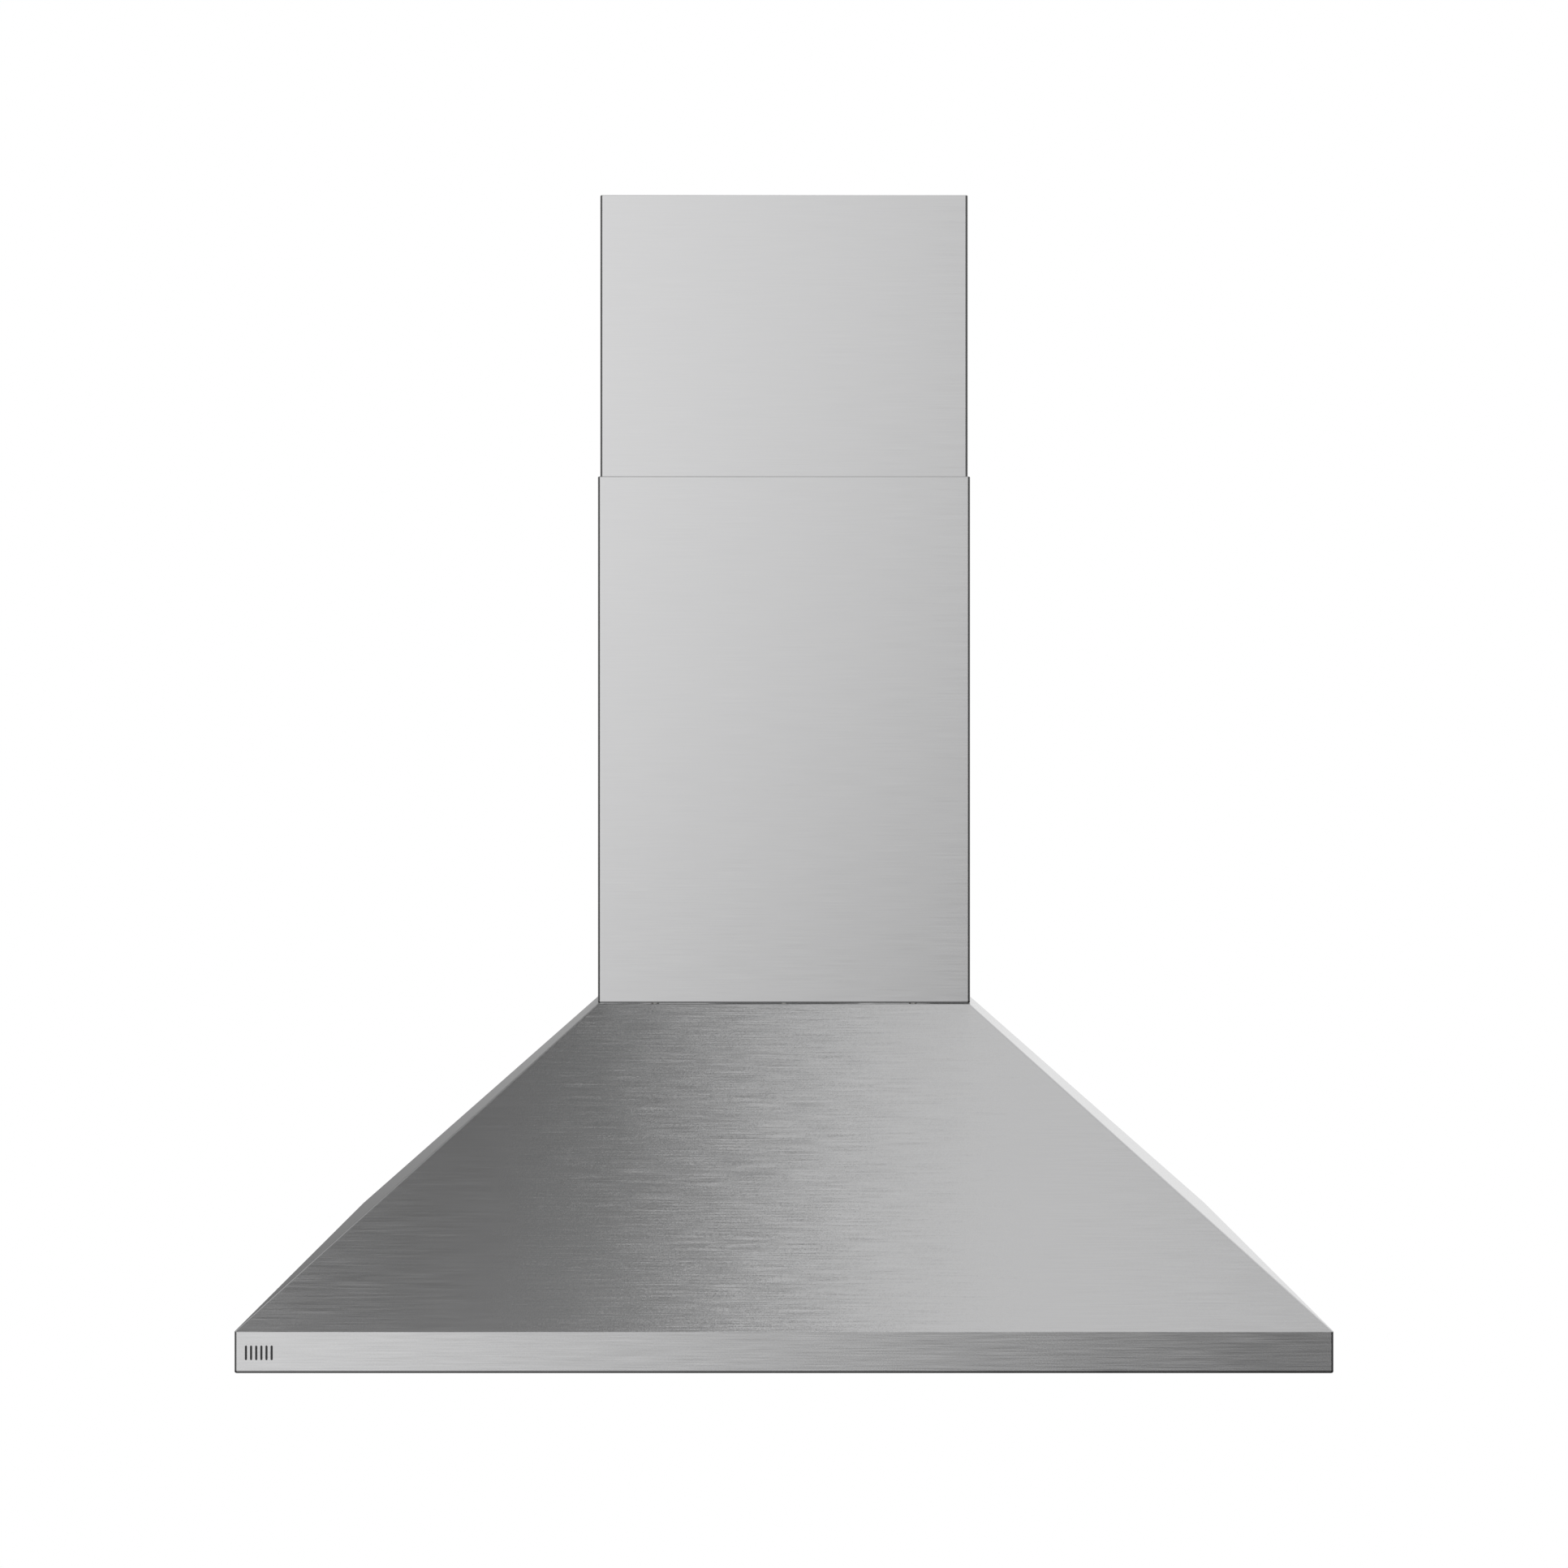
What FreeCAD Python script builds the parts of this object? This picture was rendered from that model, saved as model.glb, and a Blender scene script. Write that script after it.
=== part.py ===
import FreeCAD
import Part
import math
import os

# Wall mount range hood. A folded steel canopy hangs on the wall over a cooktop,
# a centrifugal blower hangs under its top plate, and a two piece duct cover
# runs up to the ceiling. Lengths are in millimetres. X runs across the hood and
# Y from the room to the wall, which is at zero. Heights are measured from the
# underside of the rim while the pieces are made. When they are written out, the
# middle of the four wall screws becomes the origin.

# Overall sizes
hood_width = 900.0
hood_depth = 500.0
rim_height = 34.0
canopy_height = 278.0
chimney_width = 346.0
chimney_depth = 280.0
lower_cover_height = 489.0
upper_cover_shown = 262.0
upper_cover_length = 450.0

# Sheets, bends and clearances
canopy_sheet = 1.0
plate_sheet = 1.0
cover_sheet = 0.8
bend_radius = 2.4
rest_gap = 0.3
seat_gap = 0.2
cover_gap = 1.2
overrun = 5.0

# Wall screws
wall_hole_radius = 4.0
wall_hole_spacing_x = 400.0
wall_hole_spacing_z = 120.0
hang_height = 140.0

# Canopy folds
rim_lip = 14.0
top_flange = 12.0
fold_round = 1.5

# Heights and slopes that the canopy's pieces share
slope_rise = canopy_height - rim_height
side_run = (hood_width - chimney_width) / 2
front_run = hood_depth - chimney_depth
side_wall = canopy_sheet * math.hypot(side_run, slope_rise) / slope_rise
front_wall = canopy_sheet * math.hypot(front_run, slope_rise) / slope_rise
deck_top = canopy_height - canopy_sheet
deck_bottom = deck_top - plate_sheet


def at(x, y, z):
    return FreeCAD.Vector(x, y, z)


def block(x_span, y_span, z_span):
    """A box between two places on each axis, given in either order."""
    low = at(min(x_span), min(y_span), min(z_span))
    high = at(max(x_span), max(y_span), max(z_span))
    size = high - low
    return Part.makeBox(size.x, size.y, size.z, low)


def rod(radius, start, end):
    """A round bar from one point to another."""
    line = end - start
    return Part.makeCylinder(radius, line.Length, start, line)


def pipe(outer, inner, start, end):
    """A round tube from one point to another."""
    return rod(outer, start, end).cut(rod(inner, start, end))


def joined(shapes):
    """One solid from pieces that touch or overlap."""
    return shapes[0].fuse(shapes[1:]).removeSplitter()


def group(shapes):
    """Separate solids kept side by side in one file."""
    return Part.makeCompound(shapes)


def mirrored(shape):
    """The same piece on the other side of the middle plane."""
    return shape.mirror(at(0, 0, 0), at(1, 0, 0))


def loop_face(edges):
    return Part.Face(Part.Wire(edges))


def polygon(points):
    return Part.Face(Part.makePolygon(points + points[:1]))


def u_wire(width, depth, side, front, back, radius, z):
    """A folded U seen from above: two sides and a front with rounded bends."""
    half = width / 2
    inner_half = half - side
    inner_front = depth - front
    inner_radius = max(radius - canopy_sheet, canopy_sheet / 2)
    diagonal = math.sqrt(0.5)

    def bend(x_sign, centre_x, centre_y, r, outward):
        first = at(x_sign * (centre_x + r), centre_y, z)
        middle = at(x_sign * (centre_x + r * diagonal), centre_y - r * diagonal, z)
        last = at(x_sign * centre_x, centre_y - r, z)
        ends = (first, middle, last) if outward else (last, middle, first)
        return Part.Arc(*ends).toShape()

    outer_centre = (half - radius, radius - depth)
    inner_centre = (inner_half - inner_radius, inner_radius - inner_front)
    arcs = [
        bend(-1, *outer_centre, radius, True),
        bend(1, *outer_centre, radius, False),
        bend(1, *inner_centre, inner_radius, True),
        bend(-1, *inner_centre, inner_radius, False),
    ]
    left_back = at(-half, back, z)
    right_back = at(half, back, z)
    right_inner = at(inner_half, back, z)
    left_inner = at(-inner_half, back, z)
    ends = [arc.Vertexes for arc in arcs]
    stops = [
        (left_back, ends[0][0].Point),
        (ends[0][1].Point, ends[1][0].Point),
        (ends[1][1].Point, right_back),
        (right_back, right_inner),
        (right_inner, ends[2][0].Point),
        (ends[2][1].Point, ends[3][0].Point),
        (ends[3][1].Point, left_inner),
        (left_inner, left_back),
    ]
    lines = [Part.makeLine(*pair) for pair in stops]
    order = [lines[0], arcs[0], lines[1], arcs[1], lines[2], lines[3]]
    order += [lines[4], arcs[2], lines[5], arcs[3], lines[6], lines[7]]
    return Part.Wire(order)


def u_fold(width, depth, side, front, back, radius, z_low, z_high):
    """A folded U of constant section between two heights."""
    face = Part.Face(u_wire(width, depth, side, front, back, radius, z_low))
    return face.extrude(at(0, 0, z_high - z_low))


def round_outer_edge(shape, width, depth, radius, z):
    """Rounds the edge that runs round the outside of a folded U at a height."""
    half = width / 2
    reach = canopy_sheet / 4

    def on_edge(edge):
        box = edge.BoundBox
        if abs(box.ZMin - z) > reach or abs(box.ZMax - z) > reach:
            return False
        middle = edge.valueAt((edge.FirstParameter + edge.LastParameter) / 2)
        if isinstance(edge.Curve, Part.Line):
            return abs(abs(middle.x) - half) < reach or abs(middle.y + depth) < reach
        corner_x = abs(middle.x) - half + bend_radius
        corner_y = middle.y + depth - bend_radius
        return corner_x > 0 and abs(math.hypot(corner_x, corner_y) - bend_radius) < reach

    return shape.makeFillet(radius, [edge for edge in shape.Edges if on_edge(edge)])


# Screws
screw_radius = 2.0
screw_head_radius = 3.6
screw_head_height = 2.0
screw_grip = 6.0
screw_hole_gap = 0.15
hexagon_sides = 6


def screw(seat, outward):
    """A hexagon head screw whose head sits on its seat and faces outward."""
    corners = []
    for i in range(hexagon_sides):
        turn = 2 * math.pi * i / hexagon_sides
        corners.append(at(screw_head_radius * math.cos(turn), screw_head_radius * math.sin(turn), 0))
    head = polygon(corners).extrude(at(0, 0, screw_head_height))
    shank = rod(screw_radius, at(0, 0, -screw_grip), at(0, 0, 0))
    piece = joined([head, shank])
    piece.Placement = FreeCAD.Placement(seat, FreeCAD.Rotation(at(0, 0, 1), outward))
    return piece


def screws(seats, outward):
    return group([screw(seat, outward) for seat in seats])


def drilled(piece, seats, outward):
    """The piece with a clearance hole for the shank of each screw."""
    radius = screw_radius + screw_hole_gap
    for seat in seats:
        piece = piece.cut(rod(radius, seat - outward * screw_grip, seat + outward * screw_grip))
    return piece


up = at(0, 0, 1)
left = at(-1, 0, 0)
right = at(1, 0, 0)
forward = at(0, -1, 0)

# Vent slots near the left end of the rim, filled by the ribs of a black insert
vent_slots = 6
vent_slot_width = 1.8
vent_slot_height = 12.0
vent_pitch = 4.2
vent_from_end = 9.0
vent_insert_sheet = 1.5
vent_insert_margin = 4.0
vent_rib_gap = 0.1


def vent_x(i):
    first = -hood_width / 2 + vent_from_end + vent_slot_width / 2
    return first + i * vent_pitch


def vent_bar(i, half_width, half_height, y_span):
    """One upright bar with round ends, in line with slot i."""
    middle = rim_height / 2
    straight = half_height - half_width
    x_span = (vent_x(i) - half_width, vent_x(i) + half_width)
    bar = block(x_span, y_span, (middle - straight, middle + straight))
    y_low, y_high = min(y_span), max(y_span)
    for z in (middle - straight, middle + straight):
        bar = bar.fuse(rod(half_width, at(vent_x(i), y_low, z), at(vent_x(i), y_high, z)))
    return bar.removeSplitter()


def make_rim_vent_insert():
    back = -hood_depth + canopy_sheet
    low = vent_x(0) - vent_slot_width / 2 - vent_insert_margin
    high = vent_x(vent_slots - 1) + vent_slot_width / 2 + vent_insert_margin
    reach = vent_slot_height / 2 + vent_insert_margin
    middle = rim_height / 2
    parts = [block((low, high), (back, back + vent_insert_sheet), (middle - reach, middle + reach))]
    half_width = vent_slot_width / 2 - vent_rib_gap
    half_height = vent_slot_height / 2 - vent_rib_gap
    for i in range(vent_slots):
        parts.append(vent_bar(i, half_width, half_height, (-hood_depth + vent_rib_gap, back)))
    return joined(parts)


# Top plate that closes the canopy and carries the blower
deck_edge_gap = 0.6
collar_outer_radius = 75.0
collar_sheet = 0.8
collar_height = 52.0
collar_flange = 14.0
collar_y = -chimney_depth / 2
upstand_length = 160.0
upstand_height = 40.0
upstand_foot = 20.0
deck_screw_x = 120.0
deck_screw_rear_y = -26.0

deck_screw_y = -chimney_depth + top_flange / 2
deck_screw_side_x = chimney_width / 2 - top_flange / 2
deck_screw_seats = [at(x, deck_screw_y, canopy_height) for x in (-deck_screw_x, 0, deck_screw_x)]
deck_screw_seats += [
    at(x, deck_screw_rear_y, canopy_height) for x in (-deck_screw_side_x, deck_screw_side_x)
]

# Blower that hangs under the top plate with its axle along X
wheel_radius = 75.0
wheel_width = 130.0
scroll_gap = 9.0
scroll_step = 12.0
scroll_end_gap = 10.0
scroll_sheet = 1.0
scroll_lip = 14.0
neck_length = 42.0
cutoff_turn = math.radians(60)

scroll_radius = wheel_radius + scroll_gap
scroll_half = wheel_width / 2 + scroll_end_gap
neck_rear_run = scroll_radius * math.cos(cutoff_turn)
neck_front_run = scroll_radius + 3 * scroll_step
axle_y = collar_y + (neck_front_run - neck_rear_run) / 2
axle_z = deck_bottom - neck_length - scroll_radius * math.sin(cutoff_turn)
neck_front_y = axle_y - neck_front_run
neck_rear_y = axle_y + neck_rear_run

blower_screw_x = 52.0
blower_screw_front_y = neck_front_y - scroll_sheet - scroll_lip / 2
blower_screw_rear_y = neck_rear_y + scroll_sheet + scroll_lip / 2
blower_screw_seats = [
    at(x, y, deck_top)
    for y in (blower_screw_front_y, blower_screw_rear_y)
    for x in (-blower_screw_x, blower_screw_x)
]

collar_screws = 4
collar_screw_radius = collar_outer_radius + collar_flange / 2
collar_screw_seats = [
    at(
        collar_screw_radius * math.cos(math.pi * (2 * i + 1) / collar_screws),
        collar_y + collar_screw_radius * math.sin(math.pi * (2 * i + 1) / collar_screws),
        deck_top + plate_sheet,
    )
    for i in range(collar_screws)
]


def make_canopy_shell():
    """Front and two sides in one sheet, with a lip round the rim and a flange on top."""
    rim = u_fold(hood_width, hood_depth, canopy_sheet, canopy_sheet, 0, bend_radius, 0, rim_height)
    foot = u_wire(hood_width, hood_depth, side_wall, front_wall, 0, bend_radius, rim_height)
    head = u_wire(chimney_width, chimney_depth, side_wall, front_wall, 0, bend_radius, canopy_height)
    slopes = Part.makeLoft([foot, head], True, True)
    lip_back = -plate_sheet - seat_gap
    lip = u_fold(hood_width, hood_depth, rim_lip, rim_lip, lip_back, bend_radius, 0, canopy_sheet)
    flange = u_fold(
        chimney_width, chimney_depth, top_flange, top_flange, lip_back, bend_radius, deck_top, canopy_height
    )
    shell = joined([rim, slopes, lip, flange])
    shell = round_outer_edge(shell, hood_width, hood_depth, fold_round, 0)
    slot_depth = (-hood_depth - overrun, -hood_depth + canopy_sheet + vent_insert_sheet)
    for i in range(vent_slots):
        shell = shell.cut(vent_bar(i, vent_slot_width / 2, vent_slot_height / 2, slot_depth))
    return drilled(shell, deck_screw_seats, up)


# Back panel
back_flange = 12.0


def rear_half(z):
    """Half the room between the canopy's sides at a height."""
    return hood_width / 2 - side_run * (z - rim_height) / slope_rise - side_wall - seat_gap


def rear_outline(bottom, top, inset, y):
    widest = rear_half(rim_height) - inset
    points = [at(-widest, y, bottom), at(widest, y, bottom), at(widest, y, rim_height)]
    points += [at(rear_half(top) - inset, y, top), at(-rear_half(top) + inset, y, top)]
    points.append(at(-widest, y, rim_height))
    return points


def make_back_panel():
    """The plate on the wall, with folded edges that the sides are welded to."""
    plate = polygon(rear_outline(0, canopy_height, 0, 0)).extrude(at(0, -plate_sheet, 0))
    frame_face = polygon(rear_outline(canopy_sheet, deck_bottom, 0, 0))
    hollow = polygon(rear_outline(canopy_sheet, deck_bottom - plate_sheet, side_wall, 0))
    frame = frame_face.extrude(at(0, -back_flange, 0)).cut(hollow.extrude(at(0, -back_flange, 0)))
    lip_half = hood_width / 2 - rim_lip - seat_gap
    lip = block((-lip_half, lip_half), (-rim_lip, 0), (0, canopy_sheet))
    panel = joined([plate, frame, lip])
    for x in (-wall_hole_spacing_x / 2, wall_hole_spacing_x / 2):
        for z in (hang_height - wall_hole_spacing_z / 2, hang_height + wall_hole_spacing_z / 2):
            panel = panel.cut(rod(wall_hole_radius, at(x, -overrun, z), at(x, overrun, z)))
    return panel


def make_top_plate():
    """The deck that carries the blower below and the outlet collar above."""
    grow_side = (canopy_height - deck_bottom) * side_run / slope_rise
    half = chimney_width / 2 + grow_side - side_wall - deck_edge_gap - grow_side / 2
    grow_front = (canopy_height - deck_bottom) * front_run / slope_rise
    front = -chimney_depth - grow_front + front_wall + deck_edge_gap + grow_front / 2
    plate = block((-half, half), (front, -plate_sheet - seat_gap), (deck_bottom, deck_top))
    hole = rod(
        collar_outer_radius - collar_sheet,
        at(0, collar_y, deck_bottom - overrun),
        at(0, collar_y, deck_top + overrun),
    )
    plate = plate.cut(hole)
    return drilled(plate, deck_screw_seats + blower_screw_seats + collar_screw_seats, up)


# Underside pan, recessed above the rim, with the filter opening and the front strip
pan_recess = 10.0
pan_upstand = 12.0
pan_rear_strip = 62.0
pan_side_strip = 45.0
pan_front_strip = 96.0
filter_thickness = 10.0
filter_side_gap = 2.0
filter_mid_gap = 2.0
filter_front_gap = 2.0
filter_rear_gap = 2.0
rear_ledge = 8.0

pan_top = pan_recess + plate_sheet
pan_half = hood_width / 2 - rim_lip
pan_front = -hood_depth + rim_lip
pan_rear = -rim_lip
ledge_y = pan_rear - pan_rear_strip
opening_front_y = pan_front + pan_front_strip
opening_half = pan_half - pan_side_strip
filter_rear_y = ledge_y + rear_ledge
filter_front_y = opening_front_y + filter_front_gap
filter_length = filter_rear_y - filter_front_y
filter_width = opening_half - filter_side_gap - filter_mid_gap / 2
upstand_rear_y = filter_rear_y + filter_rear_gap
strip_y = (opening_front_y + pan_front) / 2
filter_bottom = pan_top + rest_gap
filter_top = filter_bottom + filter_thickness

# Lamps in the front strip
lamp_from_side = 170.0
lamp_radius = 27.0
lamp_height = 22.0
lamp_hole_gap = 0.3
lamp_flange_radius = 32.0
lamp_flange_sheet = 1.2
lamp_terminal_radius = 9.0
lamp_terminal_height = 7.0
lamp_bezel_radius = 33.0
lamp_bezel_height = 1.6
lamp_lens_radius = 25.0
lamp_lens_gap = 0.2
lamp_lens_recess = 0.6
lamp_lens_crown = 0.4
lamp_lens_bevel = 1.6
lamp_fin_depth = 4.0
lamp_fins = 3
lamp_fin_share = 0.5

lamp_x = hood_width / 2 - lamp_from_side

# Push buttons in the middle of the front strip
buttons = 5
button_pitch = 26.0
button_radius = 6.0
button_reach = 4.0
button_round = 1.5
button_flange_radius = 7.4
button_flange_height = 1.2
button_stem_radius = 3.0
button_stem_height = 0.8
button_travel = 2.0
button_hole_gap = 0.3
bezel_margin_x = 16.0
bezel_half_depth = 15.0
bezel_sheet = 1.4
control_box_height = 28.0
control_box_wall = 1.5
board_sheet = 1.6
switch_height = 4.0
switch_half = 3.4

bezel_half = button_pitch * (buttons - 1) / 2 + bezel_margin_x
bezel_bottom = pan_recess - bezel_sheet


def button_x(i):
    return (i - (buttons - 1) / 2) * button_pitch


def button_holes(piece, z_low, z_high):
    for i in range(buttons):
        x = button_x(i)
        hole = rod(button_radius + button_hole_gap, at(x, strip_y, z_low), at(x, strip_y, z_high))
        piece = piece.cut(hole)
    return piece


def make_underside_pan():
    """An upside down tray that stands on the rim's lip, open where the filters hang."""
    skirt_half = pan_half + plate_sheet
    skirt_y = (pan_front - plate_sheet, pan_rear + plate_sheet)
    tray = block((-skirt_half, skirt_half), skirt_y, (canopy_sheet, pan_top))
    tray = tray.cut(block((-pan_half, pan_half), (pan_front, pan_rear), (canopy_sheet, pan_recess)))
    curb_half = opening_half + plate_sheet
    curb_top = pan_top + pan_upstand
    curb_y = (opening_front_y - plate_sheet, upstand_rear_y + plate_sheet)
    curb = block((-curb_half, curb_half), curb_y, (pan_recess, curb_top))
    opening_x = (-opening_half, opening_half)
    curb = curb.cut(block(opening_x, (opening_front_y, upstand_rear_y), (pan_top, curb_top)))
    pan = joined([tray, curb])
    pan = pan.cut(block(opening_x, (opening_front_y, ledge_y), (0, curb_top)))
    for x in (-lamp_x, lamp_x):
        pan = pan.cut(rod(lamp_radius + lamp_hole_gap, at(x, strip_y, 0), at(x, strip_y, curb_top)))
    return button_holes(pan, canopy_sheet, curb_top)


def make_lamp_body(x):
    """A finned metal cup whose flange lies on the pan, with a round terminal on top."""
    base = pan_recess
    top = base + lamp_height
    cup = rod(lamp_radius, at(x, strip_y, base), at(x, strip_y, top))
    flange = rod(lamp_flange_radius, at(x, strip_y, pan_top), at(x, strip_y, pan_top + lamp_flange_sheet))
    terminal = rod(lamp_terminal_radius, at(x, strip_y, top), at(x, strip_y, top + lamp_terminal_height))
    body = joined([cup, flange, terminal])
    fin_pitch = (lamp_height - plate_sheet) / (lamp_fins + 1)
    for i in range(lamp_fins):
        z = pan_top + plate_sheet + (i + lamp_fin_share) * fin_pitch
        groove = pipe(
            lamp_radius + lamp_hole_gap,
            lamp_radius - lamp_fin_depth,
            at(x, strip_y, z),
            at(x, strip_y, z + fin_pitch * lamp_fin_share),
        )
        body = body.cut(groove)
    return body


def make_lamp_bezel(x):
    """A ring with a rounded edge that lies against the pan."""
    low = pan_recess - lamp_bezel_height
    inner = lamp_lens_radius + lamp_lens_gap
    flat_radius = lamp_bezel_radius - lamp_bezel_height
    diagonal = math.sqrt(0.5)
    edge = Part.Arc(
        at(x + flat_radius, strip_y, low),
        at(
            x + flat_radius + lamp_bezel_height * diagonal,
            strip_y,
            pan_recess - lamp_bezel_height * diagonal,
        ),
        at(x + lamp_bezel_radius, strip_y, pan_recess),
    ).toShape()
    lines = [
        Part.makeLine(at(x + inner, strip_y, low), at(x + flat_radius, strip_y, low)),
        edge,
        Part.makeLine(at(x + lamp_bezel_radius, strip_y, pan_recess), at(x + inner, strip_y, pan_recess)),
        Part.makeLine(at(x + inner, strip_y, pan_recess), at(x + inner, strip_y, low)),
    ]
    return loop_face(lines).revolve(at(x, strip_y, 0), up, 360)


def make_lamp_lens(x):
    """A frosted disc with a bevelled face, set back inside its bezel."""
    low = pan_recess - lamp_bezel_height + lamp_lens_recess
    profile = polygon([
        at(x, strip_y, low - lamp_lens_crown),
        at(x + lamp_lens_radius - lamp_lens_bevel, strip_y, low - lamp_lens_crown),
        at(x + lamp_lens_radius, strip_y, low),
        at(x + lamp_lens_radius, strip_y, pan_recess),
        at(x, strip_y, pan_recess),
    ])
    return profile.revolve(at(x, strip_y, 0), up, 360)


def make_control_bezel():
    """A flat trim with round ends, held between the pan and the control box."""
    y_span = (strip_y - bezel_half_depth, strip_y + bezel_half_depth)
    end_x = bezel_half - bezel_half_depth
    parts = [block((-end_x, end_x), y_span, (bezel_bottom, pan_recess))]
    for x in (-end_x, end_x):
        parts.append(rod(bezel_half_depth, at(x, strip_y, bezel_bottom), at(x, strip_y, pan_recess)))
    return button_holes(joined(parts), 0, pan_top)


def make_control_box():
    """The cover over the switches, open towards the pan that it stands on."""
    y_span = (strip_y - bezel_half_depth, strip_y + bezel_half_depth)
    outer = block((-bezel_half, bezel_half), y_span, (pan_top, pan_top + control_box_height))
    inner_half = bezel_half - control_box_wall
    depth = bezel_half_depth - control_box_wall
    inner = block(
        (-inner_half, inner_half),
        (strip_y - depth, strip_y + depth),
        (pan_top, pan_top + control_box_height - control_box_wall),
    )
    return outer.cut(inner)


def make_switch_board():
    """A circuit board between the ends of its box, with one switch over each button."""
    button_top = filter_bottom + button_flange_height + button_stem_height
    switch_low = button_top + button_travel + rest_gap
    board_low = switch_low + switch_height
    half = bezel_half - control_box_wall
    depth = bezel_half_depth - control_box_wall - seat_gap
    parts = [block((-half, half), (strip_y - depth, strip_y + depth), (board_low, board_low + board_sheet))]
    for i in range(buttons):
        x_span = (button_x(i) - switch_half, button_x(i) + switch_half)
        y_span = (strip_y - switch_half, strip_y + switch_half)
        parts.append(block(x_span, y_span, (switch_low, board_low)))
    return joined(parts)


def make_button(i):
    """A round cap with a soft edge, a flange that keeps it in its hole, and a short stem."""
    x = button_x(i)
    flange_low = pan_top + rest_gap
    flange_high = flange_low + button_flange_height
    cap = rod(button_radius, at(x, strip_y, bezel_bottom - button_reach), at(x, strip_y, flange_low))
    cap = cap.makeFillet(button_round, [min(cap.Edges, key=lambda edge: edge.BoundBox.ZMax)])
    flange = rod(button_flange_radius, at(x, strip_y, flange_low), at(x, strip_y, flange_high))
    stem_top = at(x, strip_y, flange_high + button_stem_height)
    stem = rod(button_stem_radius, at(x, strip_y, flange_high), stem_top)
    return joined([cap, flange, stem])


def scroll_path(offset):
    """The spiral of the blower's casing, as three arcs that each grow by one step."""
    radius = scroll_radius + offset
    neck_y = neck_rear_y + offset
    start = math.acos((neck_y - axle_y) / radius)

    def arc(centre_y, centre_z, r, from_turn, to_turn):
        points = []
        for turn in (from_turn, (from_turn + to_turn) / 2, to_turn):
            points.append(at(0, centre_y + r * math.cos(turn), centre_z + r * math.sin(turn)))
        return Part.Arc(*points).toShape()

    quarter = math.pi / 2
    arcs = [
        arc(axle_y, axle_z, radius, start, 0),
        arc(axle_y - scroll_step, axle_z, radius + scroll_step, 0, -quarter),
        arc(axle_y - scroll_step, axle_z + scroll_step, radius + 2 * scroll_step, -quarter, -2 * quarter),
    ]
    cutoff = at(0, neck_y, axle_z + radius * math.sin(start))
    front_y = neck_front_y - offset
    rear_wall = Part.makeLine(at(0, neck_y, deck_bottom), cutoff)
    front_wall_edge = Part.makeLine(at(0, front_y, axle_z + scroll_step), at(0, front_y, deck_bottom))
    return [rear_wall] + arcs + [front_wall_edge]


def make_scroll_wall():
    """The strip rolled round the wheel, with a lip on each side of its outlet."""
    inner = scroll_path(0)
    outer = scroll_path(scroll_sheet)
    ends = [
        Part.makeLine(at(0, inside_y, deck_bottom), at(0, outside_y, deck_bottom))
        for inside_y, outside_y in (
            (neck_front_y, neck_front_y - scroll_sheet),
            (neck_rear_y, neck_rear_y + scroll_sheet),
        )
    ]
    edges = Part.sortEdges(inner + outer + ends)[0]
    strip = loop_face(edges).extrude(at(2 * scroll_half, 0, 0))
    strip.translate(at(-scroll_half, 0, 0))
    lips = []
    for y, side in ((neck_front_y, -1), (neck_rear_y, 1)):
        y_span = (y, y + side * (scroll_sheet + scroll_lip))
        lips.append(block((-scroll_half, scroll_half), y_span, (deck_bottom - scroll_sheet, deck_bottom)))
    return drilled(joined([strip] + lips), blower_screw_seats, up)


# Side plates of the scroll, with rounded inlets
inlet_radius = 56.0
inlet_round = 7.0
bracket_sheet = 2.0
motor_radius = 42.0
motor_ring_wall = 4.0
motor_ring_gap = 0.1
motor_ring_length = 10.0
bracket_arms = 3
bracket_arm_width = 16.0
bracket_reach = 15.0
motor_inner_end = 8.0
motor_boss_radius = 14.0
motor_boss_length = 3.0
motor_slots = 8
motor_slot_width = 3.0
motor_slot_depth = 2.5
motor_slot_inner = 13.0
motor_slot_outer = 32.0
shaft_radius = 4.0
shaft_gap = 0.05
shaft_depth = 50.0
hub_radius = 12.0
hub_length = 24.0

plate_x = scroll_half + scroll_sheet
bracket_radius = inlet_radius + inlet_round + bracket_reach
motor_outer_x = -plate_x - bracket_sheet - motor_ring_length
motor_screw_radius = inlet_radius + inlet_round + bracket_reach / 2


def arm_turn(i):
    return math.pi / 2 + 2 * math.pi * i / bracket_arms


motor_screw_seats = [
    at(
        -plate_x - bracket_sheet,
        axle_y + motor_screw_radius * math.cos(arm_turn(i)),
        axle_z + motor_screw_radius * math.sin(arm_turn(i)),
    )
    for i in range(bracket_arms)
]


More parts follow.
